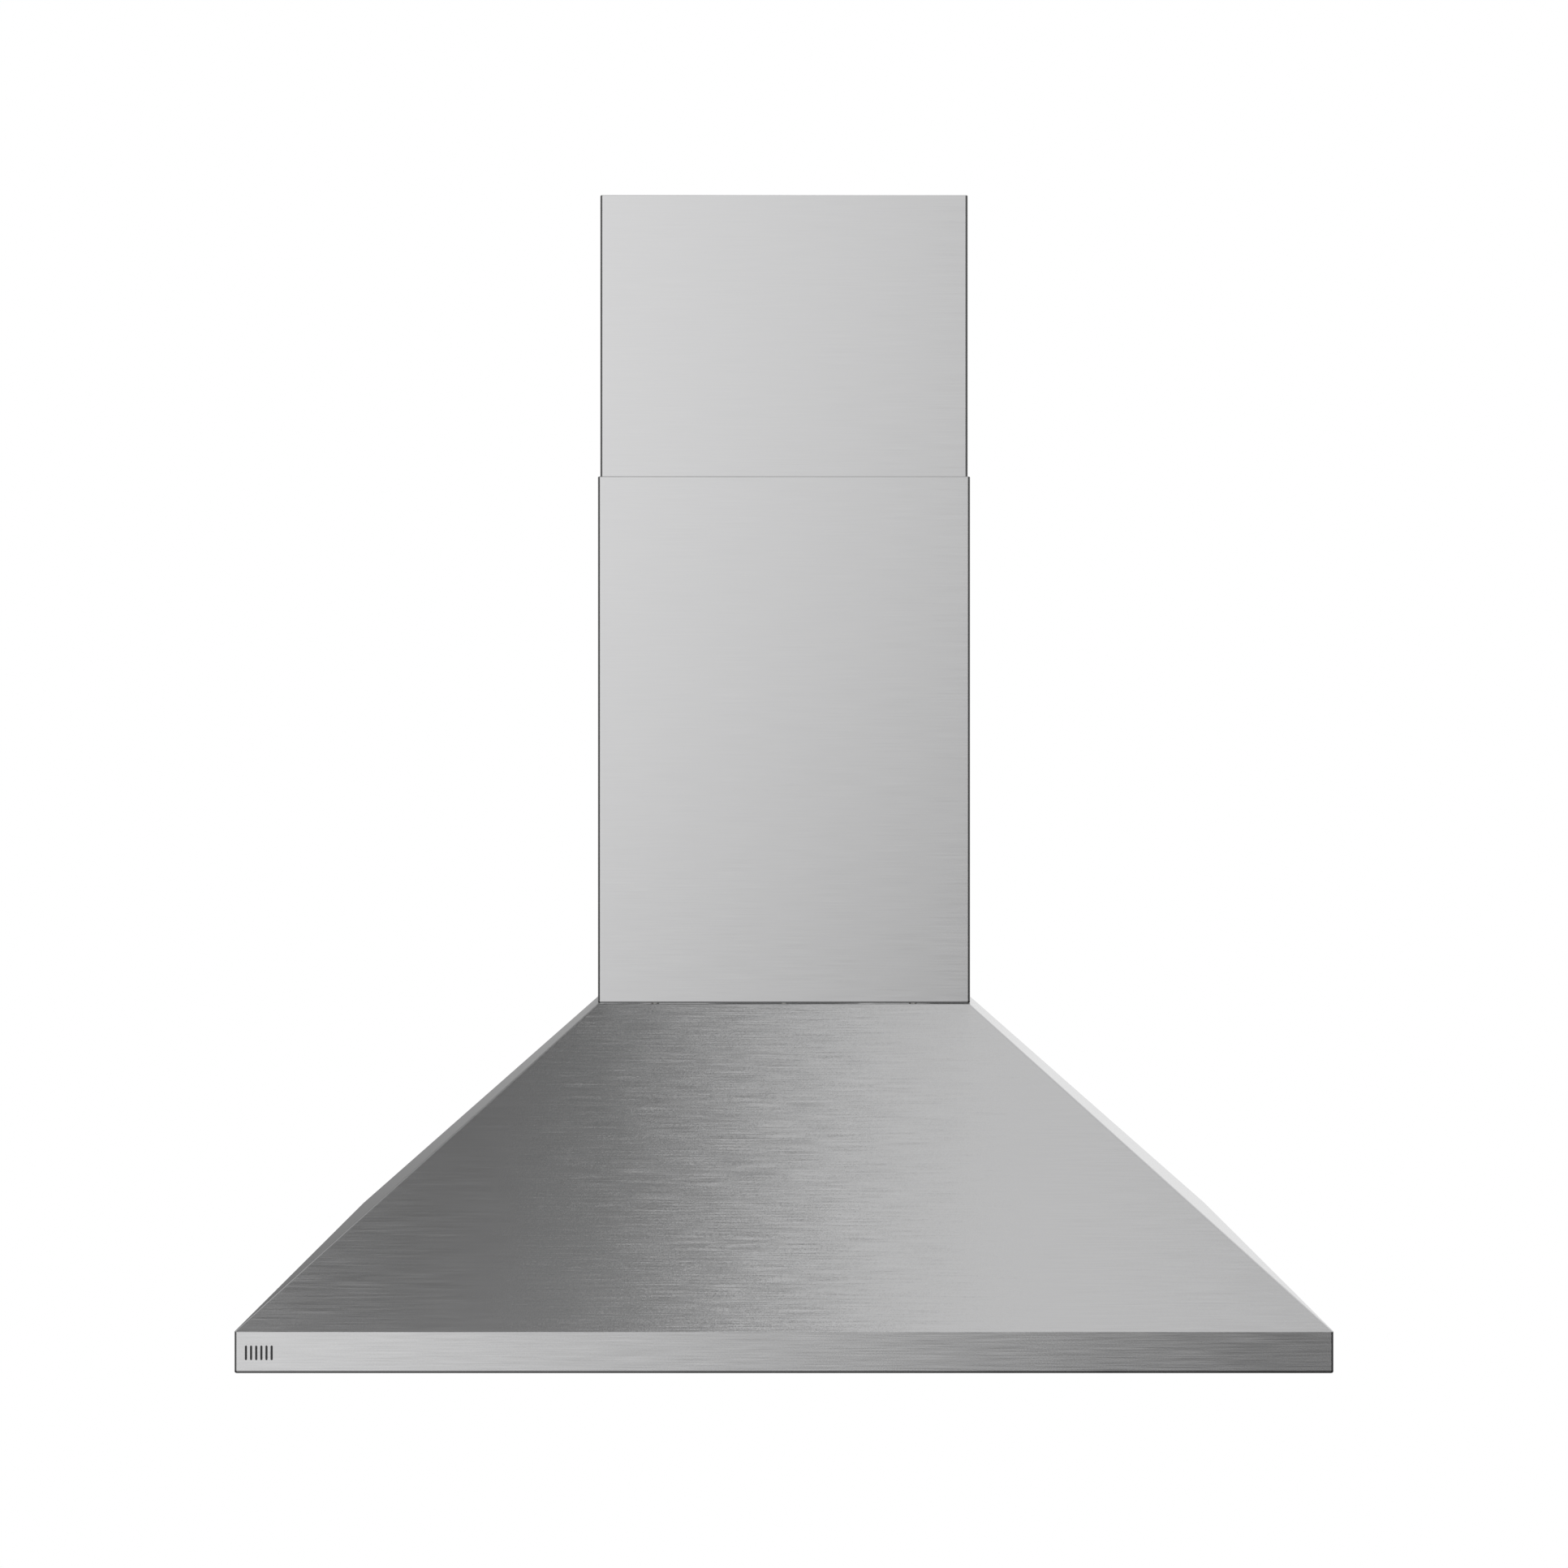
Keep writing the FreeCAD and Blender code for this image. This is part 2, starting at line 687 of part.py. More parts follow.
def make_scroll_plate():
    """The left side of the scroll: a flat cheek and an inlet that curls inwards."""
    outline = scroll_path(scroll_sheet)
    rear_y = neck_rear_y + scroll_sheet
    front_y = neck_front_y - scroll_sheet
    outline.append(Part.makeLine(at(0, rear_y, deck_bottom), at(0, front_y, deck_bottom)))
    cheek = loop_face(Part.sortEdges(outline)[0]).extrude(at(scroll_sheet, 0, 0))
    cheek.translate(at(-plate_x, 0, 0))
    mouth_start = at(-plate_x - overrun, axle_y, axle_z)
    mouth_end = at(-scroll_half + overrun, axle_y, axle_z)
    cheek = cheek.cut(rod(inlet_radius + inlet_round, mouth_start, mouth_end))
    inner_r = inlet_round - scroll_sheet
    centre_z = axle_z + inlet_radius + inlet_round
    centre_x = -plate_x + inlet_round
    diagonal = math.sqrt(0.5)
    outer_arc = Part.Arc(
        at(-plate_x, axle_y, centre_z),
        at(centre_x - inlet_round * diagonal, axle_y, centre_z - inlet_round * diagonal),
        at(centre_x, axle_y, centre_z - inlet_round),
    ).toShape()
    inner_arc = Part.Arc(
        at(-plate_x + scroll_sheet, axle_y, centre_z),
        at(centre_x - inner_r * diagonal, axle_y, centre_z - inner_r * diagonal),
        at(centre_x, axle_y, centre_z - inner_r),
    ).toShape()
    lip_low = at(centre_x, axle_y, centre_z - inlet_round)
    ends = [
        Part.makeLine(at(-plate_x, axle_y, centre_z), at(-plate_x + scroll_sheet, axle_y, centre_z)),
        Part.makeLine(lip_low, at(centre_x, axle_y, centre_z - inner_r)),
    ]
    profile = loop_face(Part.sortEdges([outer_arc, inner_arc] + ends)[0])
    mouth_ring = profile.revolve(at(0, axle_y, axle_z), right, 360)
    return joined([cheek, mouth_ring])


def make_motor():
    """A round motor case with cooling slots and a bearing boss towards the wheel."""
    inner_end = at(-motor_inner_end - motor_boss_length, axle_y, axle_z)
    case = rod(motor_radius, at(motor_outer_x, axle_y, axle_z), inner_end)
    boss = rod(motor_boss_radius, inner_end, at(-motor_inner_end, axle_y, axle_z))
    rounding = motor_ring_wall
    case = case.makeFillet(rounding, [edge for edge in case.Edges if edge.Length > motor_radius][:1])
    bore_end = at(-motor_inner_end - shaft_depth, axle_y, axle_z)
    motor = joined([case, boss]).cut(rod(shaft_radius + shaft_gap, bore_end, at(0, axle_y, axle_z)))
    for i in range(motor_slots):
        slot = block(
            (motor_outer_x, motor_outer_x + motor_slot_depth),
            (-motor_slot_width / 2, motor_slot_width / 2),
            (motor_slot_inner, motor_slot_outer),
        )
        slot.rotate(at(0, 0, 0), right, 360 * i / motor_slots)
        slot.translate(at(0, axle_y, axle_z))
        motor = motor.cut(slot)
    return motor


def make_motor_bracket():
    """A ring round the motor with arms that reach across the inlet."""
    inner = motor_radius + motor_ring_gap
    outer = inner + motor_ring_wall
    ring = rod(outer, at(motor_outer_x, axle_y, axle_z), at(-plate_x, axle_y, axle_z))
    parts = [ring]
    for i in range(bracket_arms):
        arm = block(
            (-plate_x - bracket_sheet, -plate_x),
            (-bracket_arm_width / 2, bracket_arm_width / 2),
            (0, bracket_radius),
        )
        arm.rotate(at(0, 0, 0), right, math.degrees(arm_turn(i)) - 90)
        arm.translate(at(0, axle_y, axle_z))
        parts.append(arm)
    bracket = joined(parts)
    bracket = bracket.cut(rod(inner, at(motor_outer_x - overrun, axle_y, axle_z), at(0, axle_y, axle_z)))
    return drilled(bracket, motor_screw_seats, left)


def make_motor_shaft():
    return rod(
        shaft_radius,
        at(-motor_inner_end - shaft_depth + seat_gap, axle_y, axle_z),
        at(hub_length - motor_inner_end + shaft_radius, axle_y, axle_z),
    )


# Wheel with forward curved blades
blades = 32
blade_sheet = 0.9
blade_inner_radius = 61.0
blade_bow_share = 0.5
blade_bow_turn = math.radians(2.5)
blade_sweep_turn = math.radians(12)
wheel_disc = 1.4
wheel_ring = 1.6
hub_gap = 0.02


def make_impeller():
    """A centre disc on a hub, two end rings and the curved blades between them."""
    half = wheel_width / 2
    tip = wheel_radius - blade_sheet
    ridge = blade_inner_radius + (tip - blade_inner_radius) * blade_bow_share

    def blade_edge(lead):
        places = []
        for radius, turn in ((blade_inner_radius, 0), (ridge, blade_bow_turn), (tip, blade_sweep_turn)):
            angle = turn + lead / radius
            places.append(at(-half, radius * math.cos(angle), radius * math.sin(angle)))
        return Part.Arc(*places).toShape(), places

    face_arc, face_points = blade_edge(0)
    back_arc, back_points = blade_edge(blade_sheet)
    ends = [Part.makeLine(face_points[end], back_points[end]) for end in (0, 2)]
    profile = loop_face(Part.sortEdges([face_arc, back_arc] + ends)[0])
    blade = profile.extrude(at(2 * half, 0, 0))
    disc = rod(wheel_radius - 2 * blade_sheet, at(-wheel_disc / 2, 0, 0), at(wheel_disc / 2, 0, 0))
    hub_start = at(-motor_inner_end + rest_gap + plate_sheet, 0, 0)
    hub = rod(hub_radius, hub_start, at(hub_length - motor_inner_end, 0, 0))
    parts = [disc, hub]
    ring_inner = blade_inner_radius - blade_sheet
    for x in (-half, half - wheel_ring):
        parts.append(pipe(wheel_radius, ring_inner, at(x, 0, 0), at(x + wheel_ring, 0, 0)))
    for i in range(blades):
        copy = blade.copy()
        copy.rotate(at(0, 0, 0), right, 360 * i / blades)
        parts.append(copy)
    wheel = parts[0].fuse(parts[1:])
    wheel = wheel.cut(rod(shaft_radius + hub_gap, at(-half, 0, 0), at(half, 0, 0)))
    wheel.translate(at(0, axle_y, axle_z))
    return wheel


# Capacitor under the top plate
capacitor_radius = 15.0
capacitor_length = 52.0
capacitor_x = 118.0
capacitor_y = -70.0
capacitor_crimp = 1.5


def make_capacitor():
    top = at(capacitor_x, capacitor_y, deck_bottom)
    body = rod(capacitor_radius, at(capacitor_x, capacitor_y, deck_bottom - capacitor_length), top)
    neck_low = at(capacitor_x, capacitor_y, deck_bottom - 2 * capacitor_crimp)
    neck_high = at(capacitor_x, capacitor_y, deck_bottom - capacitor_crimp)
    neck_radius = capacitor_radius - capacitor_crimp
    return body.cut(pipe(capacitor_radius + overrun, neck_radius, neck_low, neck_high))


# Outlet collar and its backdraught flaps
flap_pin_radius = 2.0
flap_pin_height = 24.0
flap_sheet = 0.8
flap_edge_gap = 0.7
flap_root = 4.2
knuckle_radius = 3.4
knuckle_length = 14.0
knuckle_gap = 0.05
knuckle_spacing = 60.0
knuckle_middle_share = 0.5
knuckle_shift_share = 0.25
stop_width = 12.0
stop_reach = 7.0
stop_height = 1.5

collar_inner_radius = collar_outer_radius - collar_sheet
flap_radius = collar_inner_radius - flap_edge_gap
flap_z = deck_top + flap_pin_height


def make_outlet_collar():
    """The round spigot that the duct slips over, with a stop under each flap."""
    top = deck_top + collar_height
    foot = at(0, collar_y, deck_top)
    tube = pipe(collar_outer_radius, collar_inner_radius, foot, at(0, collar_y, top))
    outer = collar_outer_radius + collar_flange
    flange = pipe(outer, collar_inner_radius, foot, foot + up * plate_sheet)
    parts = [tube, flange]
    stop_top = flap_z - flap_sheet / 2 - rest_gap
    for side in (-1, 1):
        y_span = (
            collar_y + side * (collar_inner_radius - stop_reach),
            collar_y + side * (collar_inner_radius + collar_sheet / 4),
        )
        parts.append(block((-stop_width / 2, stop_width / 2), y_span, (stop_top - stop_height, stop_top)))
    return drilled(joined(parts), collar_screw_seats, up)


def make_damper_pin():
    reach = collar_inner_radius - seat_gap
    return rod(flap_pin_radius, at(-reach, collar_y, flap_z), at(reach, collar_y, flap_z))


def make_damper_flap(side):
    """A half disc with two knuckles on the pin. Side is -1 at the front, 1 at the wall."""
    low = flap_z - flap_sheet / 2
    high = flap_z + flap_sheet / 2
    disc = rod(flap_radius, at(0, collar_y, low), at(0, collar_y, high))
    y_span = (collar_y + side * flap_root, collar_y + side * (flap_radius + overrun))
    half_disc = disc.common(block((-flap_radius, flap_radius), y_span, (low, high)))
    parts = [half_disc]
    for i in (0, 1):
        middle = (i - knuckle_middle_share + side * knuckle_shift_share) * knuckle_spacing
        ends = (middle - knuckle_length / 2, middle + knuckle_length / 2)
        parts.append(rod(knuckle_radius, at(ends[0], collar_y, flap_z), at(ends[1], collar_y, flap_z)))
        parts.append(block(ends, (collar_y, collar_y + side * (flap_root + flap_sheet)), (low, high)))
    pin_hole_ends = (at(-flap_radius, collar_y, flap_z), at(flap_radius, collar_y, flap_z))
    return joined(parts).cut(rod(flap_pin_radius + knuckle_gap, *pin_hole_ends))


# Junction box on the top plate
junction_x = 94.0
junction_width = 64.0
junction_depth = 44.0
junction_height = 46.0
junction_wall = 1.5
junction_from_wall = 8.0
junction_screw_inset = 5.0
cable_hole_radius = 11.0

junction_right = junction_x + junction_width
junction_back = -junction_from_wall
junction_front = junction_back - junction_depth
junction_top = deck_top + junction_height
junction_screw_seats = [
    at(x, junction_front - junction_wall, z)
    for x, z in (
        (junction_x + junction_screw_inset, junction_top - junction_screw_inset),
        (junction_right - junction_screw_inset, deck_top + junction_screw_inset),
    )
]


def make_junction_box():
    """A steel box with an open front, two screw bosses and the cable hole on top."""
    outer = block((junction_x, junction_right), (junction_front, junction_back), (deck_top, junction_top))
    inner = block(
        (junction_x + junction_wall, junction_right - junction_wall),
        (junction_front, junction_back - junction_wall),
        (deck_top + junction_wall, junction_top - junction_wall),
    )
    box = outer.cut(inner)
    corner = 2 * junction_screw_inset
    boss_y = (junction_front, junction_front + corner)
    bosses = [
        block((junction_x, junction_x + corner), boss_y, (junction_top - corner, junction_top)),
        block((junction_right - corner, junction_right), boss_y, (deck_top, deck_top + corner)),
    ]
    box = joined([box] + bosses)
    middle = at((junction_x + junction_right) / 2, (junction_front + junction_back) / 2, junction_top)
    box = box.cut(rod(cable_hole_radius, middle - up * 2 * junction_wall, middle + up * overrun))
    return drilled(box, junction_screw_seats, forward)


def make_junction_cover():
    y_span = (junction_front - junction_wall, junction_front)
    plate = block((junction_x, junction_right), y_span, (deck_top, junction_top))
    return drilled(plate, junction_screw_seats, forward)


# Duct covers
cover_flange = 20.0
cover_edge_round = 0.5
cover_screw_height = 24.0
cover_screw_spacing = 90.0

cover_bottom = canopy_height + plate_sheet
lower_cover_top = cover_bottom + lower_cover_height
hood_top = lower_cover_top + upper_cover_shown
upper_cover_bottom = hood_top - upper_cover_length
upper_width = chimney_width - 2 * (cover_sheet + cover_gap)
upper_depth = chimney_depth - cover_sheet - cover_gap
upper_back = -cover_sheet - rest_gap
cover_screw_z = cover_bottom + cover_screw_height


def cover_screw_seats(side):
    return [
        at(side * chimney_width / 2, collar_y + y, cover_screw_z)
        for y in (-cover_screw_spacing / 2, cover_screw_spacing / 2)
    ]


def make_cover(width, depth, back, z_low, z_high):
    """A tall folded U with a flange turned in along each edge at the wall."""
    body = u_fold(width, depth, cover_sheet, cover_sheet, back, bend_radius, z_low, z_high)
    parts = [body]
    for side in (-1, 1):
        x_span = (side * width / 2, side * (width / 2 - cover_flange))
        parts.append(block(x_span, (back, back - cover_sheet), (z_low, z_high)))
    return round_outer_edge(joined(parts), width, depth, cover_edge_round, z_high)


def make_lower_duct_cover():
    cover = make_cover(chimney_width, chimney_depth, 0, cover_bottom, lower_cover_top)
    cover = drilled(cover, cover_screw_seats(-1), left)
    return drilled(cover, cover_screw_seats(1), right)


def make_cover_upstand():
    """The right hand angle on the canopy's flange that the lower cover is screwed to."""
    outer = chimney_width / 2
    y_span = (collar_y - upstand_length / 2, collar_y + upstand_length / 2)
    foot = block((outer - upstand_foot, outer), y_span, (canopy_height, cover_bottom))
    leg_outer = outer - cover_sheet
    leg_z = (canopy_height, canopy_height + upstand_height)
    leg = block((leg_outer - plate_sheet, leg_outer), y_span, leg_z)
    return drilled(joined([foot, leg]), cover_screw_seats(1), right)


# Bracket that holds the upper cover to the wall under the ceiling
bracket_strip_height = 30.0
bracket_strip_sheet = 1.5
bracket_tab = 30.0
bracket_hole_radius = 3.0
bracket_hole_spacing = 240.0

strip_half = upper_width / 2 - cover_sheet
strip_back = upper_back - cover_sheet
strip_z = hood_top - bracket_strip_height / 2
bracket_screw_y = strip_back - bracket_tab / 2


def bracket_seats(side):
    return [at(side * upper_width / 2, bracket_screw_y, strip_z)]


def make_upper_duct_cover():
    cover = make_cover(upper_width, upper_depth, upper_back, upper_cover_bottom, hood_top)
    cover = drilled(cover, bracket_seats(-1), left)
    return drilled(cover, bracket_seats(1), right)


def make_ceiling_bracket():
    z_span = (hood_top - bracket_strip_height, hood_top)
    parts = [block((-strip_half, strip_half), (strip_back - bracket_strip_sheet, strip_back), z_span)]
    for side in (-1, 1):
        x_span = (side * strip_half, side * (strip_half - bracket_strip_sheet))
        parts.append(block(x_span, (strip_back - bracket_tab, strip_back), z_span))
    bracket = joined(parts)
    for x in (-bracket_hole_spacing / 2, bracket_hole_spacing / 2):
        hole_ends = (at(x, strip_back - overrun, strip_z), at(x, strip_back + overrun, strip_z))
        bracket = bracket.cut(rod(bracket_hole_radius, *hole_ends))
    bracket = drilled(bracket, bracket_seats(-1), left)
    return drilled(bracket, bracket_seats(1), right)


# Baffle filters
filter_sheet = 0.8
filter_bar = 12.0
filter_front_bar = 26.0
baffle_pitch_aim = 33.0
baffle_sheet = 0.6
baffle_depth = 5.6
baffle_half = 9.5
baffle_flare = 1.5
baffle_end_gap = 0.5

filter_left_x = filter_mid_gap / 2
filter_right_x = filter_left_x + filter_width
window_width = filter_width - 2 * filter_bar
baffles = round(window_width / baffle_pitch_aim)
baffle_pitch = window_width / baffles


def make_filter_frame():
    """The right hand filter's frame: a channel that opens towards the baffles."""
    frame_y = (filter_front_y, filter_rear_y)
    outer = block((filter_left_x, filter_right_x), frame_y, (filter_bottom, filter_top))
    window = block(
        (filter_left_x + filter_bar, filter_right_x - filter_bar),
        (filter_front_y + filter_front_bar, filter_rear_y - filter_bar),
        (filter_bottom, filter_top),
    )
    channel = block(
        (filter_left_x + filter_sheet, filter_right_x - filter_sheet),
        (filter_front_y + filter_sheet, filter_rear_y - filter_sheet),
        (filter_bottom + filter_sheet, filter_top - filter_sheet),
    )
    return outer.cut(window).cut(channel)


def baffle(x, z, rise):
    """A trough with flared sides that runs from front to back. Rise is 1 or -1."""
    y = filter_front_y + filter_sheet + baffle_end_gap
    length = filter_length - 2 * (filter_sheet + baffle_end_gap)
    tip = baffle_half + baffle_flare
    outside = [(-tip, baffle_depth), (-baffle_half, 0), (baffle_half, 0), (tip, baffle_depth)]
    inside = [
        (tip - baffle_sheet, baffle_depth),
        (baffle_half - baffle_sheet, baffle_sheet),
        (baffle_sheet - baffle_half, baffle_sheet),
        (baffle_sheet - tip, baffle_depth),
    ]
    points = [at(x + across, y, z + rise * along) for across, along in outside + inside]
    return polygon(points).extrude(at(0, length, 0))


def make_filter_lower_baffles():
    first = filter_left_x + filter_bar + baffle_pitch / 2
    z = filter_bottom + filter_sheet
    return group([baffle(first + i * baffle_pitch, z, 1) for i in range(baffles)])


def make_filter_upper_baffles():
    first = filter_left_x + filter_bar
    z = filter_top - filter_sheet
    return group([baffle(first + i * baffle_pitch, z, -1) for i in range(baffles + 1)])


# Sliding latch under the front bar of each filter
latch_half = 24.0
latch_sheet = 1.2
latch_nose_gap = 0.3
latch_length = 22.0
latch_tab_half = 17.0
latch_tab_height = 7.0
latch_travel = 6.0
rivet_radius = 1.5
rivet_head_radius = 3.2
rivet_head_height = 1.0
rivet_spacing = 30.0
rivet_gap = 0.3

latch_x = filter_left_x + filter_width / 2
latch_top = filter_bottom - rest_gap
latch_bottom = latch_top - latch_sheet
latch_front_y = opening_front_y + latch_nose_gap
latch_rear_y = latch_front_y + latch_length
rivet_y = filter_front_y + filter_front_bar / 2


def make_latch():
    """A plate with two slots and a finger tab turned down at its rear edge."""
    x_span = (latch_x - latch_half, latch_x + latch_half)
    plate = block(x_span, (latch_front_y, latch_rear_y), (latch_bottom, latch_top))
    tab = block(
        (latch_x - latch_tab_half, latch_x + latch_tab_half),
        (latch_rear_y, latch_rear_y - latch_sheet),
        (latch_bottom - latch_tab_height, latch_top),
    )
    latch = joined([plate, tab])
    slot = rivet_radius + rivet_gap
    for x in (latch_x - rivet_spacing / 2, latch_x + rivet_spacing / 2):
        hole = block((x - slot, x + slot), (rivet_y - latch_travel, rivet_y), (latch_bottom, latch_top))
        for y in (rivet_y - latch_travel, rivet_y):
            hole = hole.fuse(rod(slot, at(x, y, latch_bottom), at(x, y, latch_top)))
        latch = latch.cut(hole)
    return latch


def make_latch_rivets():
    rivets = []
    head_top = latch_bottom - rest_gap
    for x in (latch_x - rivet_spacing / 2, latch_x + rivet_spacing / 2):
        shank = rod(rivet_radius, at(x, rivet_y, head_top), at(x, rivet_y, filter_bottom))
        head = rod(rivet_head_radius, at(x, rivet_y, head_top - rivet_head_height), at(x, rivet_y, head_top))
        rivets.append(joined([shank, head]))
    return group(rivets)


def all_pieces():
    """Every piece of the hood under its own name."""
    pieces = {
        "canopy_shell": make_canopy_shell(),
        "rim_vent_insert": make_rim_vent_insert(),
        "back_panel": make_back_panel(),
        "top_plate": make_top_plate(),
        "underside_pan": make_underside_pan(),
        "control_bezel": make_control_bezel(),
        "control_box": make_control_box(),
        "switch_board": make_switch_board(),
        "scroll_wall": make_scroll_wall(),
        "motor": make_motor(),
        "motor_bracket": make_motor_bracket(),
        "motor_shaft": make_motor_shaft(),
        "impeller": make_impeller(),
        "capacitor": make_capacitor(),
        "outlet_collar": make_outlet_collar(),
        "damper_pin": make_damper_pin(),
        "damper_flap_front": make_damper_flap(-1),
        "damper_flap_rear": make_damper_flap(1),
        "junction_box": make_junction_box(),
        "junction_cover": make_junction_cover(),
        "lower_duct_cover": make_lower_duct_cover(),
        "upper_duct_cover": make_upper_duct_cover(),
        "ceiling_bracket": make_ceiling_bracket(),
        "deck_screws": screws(deck_screw_seats, up),
        "blower_screws": screws(blower_screw_seats, up),
        "collar_screws": screws(collar_screw_seats, up),
        "motor_screws": screws(motor_screw_seats, left),
        "junction_screws": screws(junction_screw_seats, forward),
    }
    for name, x in (("left", -lamp_x), ("right", lamp_x)):
        pieces["lamp_" + name + "_body"] = make_lamp_body(x)
        pieces["lamp_" + name + "_bezel"] = make_lamp_bezel(x)
        pieces["lamp_" + name + "_lens"] = make_lamp_lens(x)
    for i in range(buttons):
        pieces["button_" + str(i + 1)] = make_button(i)
    cheek = drilled(make_scroll_plate(), motor_screw_seats, left)
    pieces["scroll_plate_left"] = cheek
    pieces["scroll_plate_right"] = mirrored(make_scroll_plate())
    upstand = make_cover_upstand()
    pieces["cover_upstand_right"] = upstand
    pieces["cover_upstand_left"] = mirrored(upstand)
    cover_fixings = [screw(seat, left) for seat in cover_screw_seats(-1)]
    cover_fixings += [screw(seat, right) for seat in cover_screw_seats(1)]
    pieces["cover_screws"] = group(cover_fixings)
    bracket_fixings = [screw(seat, left) for seat in bracket_seats(-1)]
    bracket_fixings += [screw(seat, right) for seat in bracket_seats(1)]
    pieces["bracket_screws"] = group(bracket_fixings)
    filter_makers = {
        "frame": make_filter_frame,
        "lower_baffles": make_filter_lower_baffles,
        "upper_baffles": make_filter_upper_baffles,
        "latch": make_latch,
        "latch_rivets": make_latch_rivets,
    }
    for name, maker in filter_makers.items():
        shape = maker()
        pieces["filter_right_" + name] = shape
        pieces["filter_left_" + name] = mirrored(shape)
    return pieces


def main():
    os.makedirs("parts", exist_ok=True)
    for name, shape in all_pieces().items():
        shape.translate(at(0, 0, -hang_height))
        shape.exportStep(os.path.join("parts", name + ".step"))
        print(name, len(shape.Solids), shape.isValid(), round(shape.Volume))


main()
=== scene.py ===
import math
import bmesh
import bpy
import numpy as np
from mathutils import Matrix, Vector


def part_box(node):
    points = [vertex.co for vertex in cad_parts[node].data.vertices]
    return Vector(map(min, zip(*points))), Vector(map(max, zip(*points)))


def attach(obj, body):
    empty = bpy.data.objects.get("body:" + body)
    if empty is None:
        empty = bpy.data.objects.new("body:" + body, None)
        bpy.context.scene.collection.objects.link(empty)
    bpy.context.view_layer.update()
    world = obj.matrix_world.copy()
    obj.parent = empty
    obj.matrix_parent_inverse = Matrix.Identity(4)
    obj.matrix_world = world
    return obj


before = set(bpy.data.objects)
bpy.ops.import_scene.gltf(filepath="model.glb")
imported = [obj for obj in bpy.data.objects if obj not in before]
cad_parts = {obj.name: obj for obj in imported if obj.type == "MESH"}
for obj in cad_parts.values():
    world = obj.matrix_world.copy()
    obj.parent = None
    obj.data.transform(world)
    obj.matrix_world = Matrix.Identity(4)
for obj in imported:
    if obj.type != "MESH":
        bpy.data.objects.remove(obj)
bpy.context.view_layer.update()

# Wall mount range hood: brushed steel canopy and duct covers, seen square on from the room.
# Everything is in metres. The wall is at y = 0 and the room lies towards -y.


# camera and studio

cameraPlace = {
    "distance": 2.123,      # from the wall plane to the lens
    "height": 0.3423,       # above the middle of the wall screws
    "lens": 45.555,
    "sensor": 36.0,
    "farthest": 60.0,
}

studio = {
    "floorHeight": -1.79,   # the rim hangs 1.65 m above the floor
    "floorRadius": 1.7,
    "floorSides": 96,
    "floorTone": 0.9,
    "floorWhite": 0.75,     # how far the floor is white to the camera, so that only a soft shadow shows
    "fadeStart": 0.3,       # shares of the radius between which the floor turns all white
    "fadeEnd": 0.95,
    "backgroundTone": 1.0,
    "fillTone": 0.8,        # what matt surfaces are lit with
    "keyPlace": (-1.6, -2.2, 2.4),
    "keyAim": (0.0, -0.25, 0.1),
    "keySize": 1.6,
    "keyPower": 22.0,
}

studioPanels = {
    # steps of tone across x: from, to, the tones at the two, and the shape where it isn't smooth
    "ceiling": (                # dark over the left half and bright over the right
        (-0.085, 0.044, 0.005, 0.70),
        (-0.19, -0.34, 0.0, 0.17),
        (-0.4, -0.9, 0.0, 0.3),
        (0.09, 0.28, 0.0, -0.12),
        (0.35, 0.8, 0.0, 0.2),
    ),
    "roomHigh": (               # the room in front falls off to the right
        (-0.32, 0.34, 1.20, 0.59, "LINEAR"),
        (-0.32, -0.64, 0.0, -0.8),
        (-0.66, -0.95, 0.0, 0.5),
        (0.09, 0.26, 0.0, -0.19, "LINEAR"),
        (0.5, 0.9, 0.0, 0.3),
    ),
    "roomLow": (                # and more so towards the floor
        (-0.32, 0.28, 0.74, -0.14, "LINEAR"),
        (-0.35, -0.85, 0.0, -0.3),
        (0.38, 0.85, 0.0, 0.4),
    ),
    "wallSide": (               # dim on the left and bright on the right
        (-0.40, 0.16, 0.05, 0.92, "LINEAR"),
        (-0.40, -0.9, 0.0, 0.45),
        (0.36, 0.72, 0.0, -0.38),
    ),
    "below": (
        (-0.32, 0.34, 0.75, 0.32, "LINEAR"),
    ),
    # where one panel turns into the next, by how far a direction rises or runs along or across
    "roomEdge": (-0.30, 0.01),
    "wallEdge": (0.1, 0.45),
    "belowEdge": (-0.5, -0.75),
    "ceilingEdge": (0.55, 0.88),
    "sideEdge": (0.38, 0.65),
    "waveAlong": 6.5,
    "waveRise": 2.5,
    "waveTone": -0.24,
    "leastTone": 0.01,
}

plainWhite = (1.0, 1.0, 1.0, 1.0)


def newNodes(tree):
    # clears a node tree and returns a helper that adds a node with its values and links
    tree.nodes.clear()

    def add(kind, inputs=None, **settings):
        node = tree.nodes.new(kind)
        for name, value in settings.items():
            setattr(node, name, value)
        for name, value in (inputs or {}).items():
            socket = node.inputs[name]
            if isinstance(value, bpy.types.NodeSocket):
                tree.links.new(value, socket)
            else:
                socket.default_value = value
        return node

    return add


def mathNode(add, operation, *values):
    return add("ShaderNodeMath", dict(enumerate(values)), operation=operation).outputs[0]


def vectorNode(add, operation, *values):
    return add("ShaderNodeVectorMath", dict(enumerate(values)), operation=operation).outputs[0]


def lengthOf(add, vector):
    return add("ShaderNodeVectorMath", {0: vector}, operation="LENGTH").outputs["Value"]


def stretched(add, vector, scale):
    return add("ShaderNodeVectorMath", {0: vector, "Scale": scale}, operation="SCALE").outputs[0]


def ramp(add, value, low, high, fromTone=0.0, toTone=1.0, shape="SMOOTHSTEP"):
    # a tone that goes from one level to another while the value goes from low to high
    node = add("ShaderNodeMapRange", {
        "Value": value, "From Min": low, "From Max": high, "To Min": fromTone, "To Max": toTone,
    }, interpolation_type=shape)
    return node.outputs["Result"]


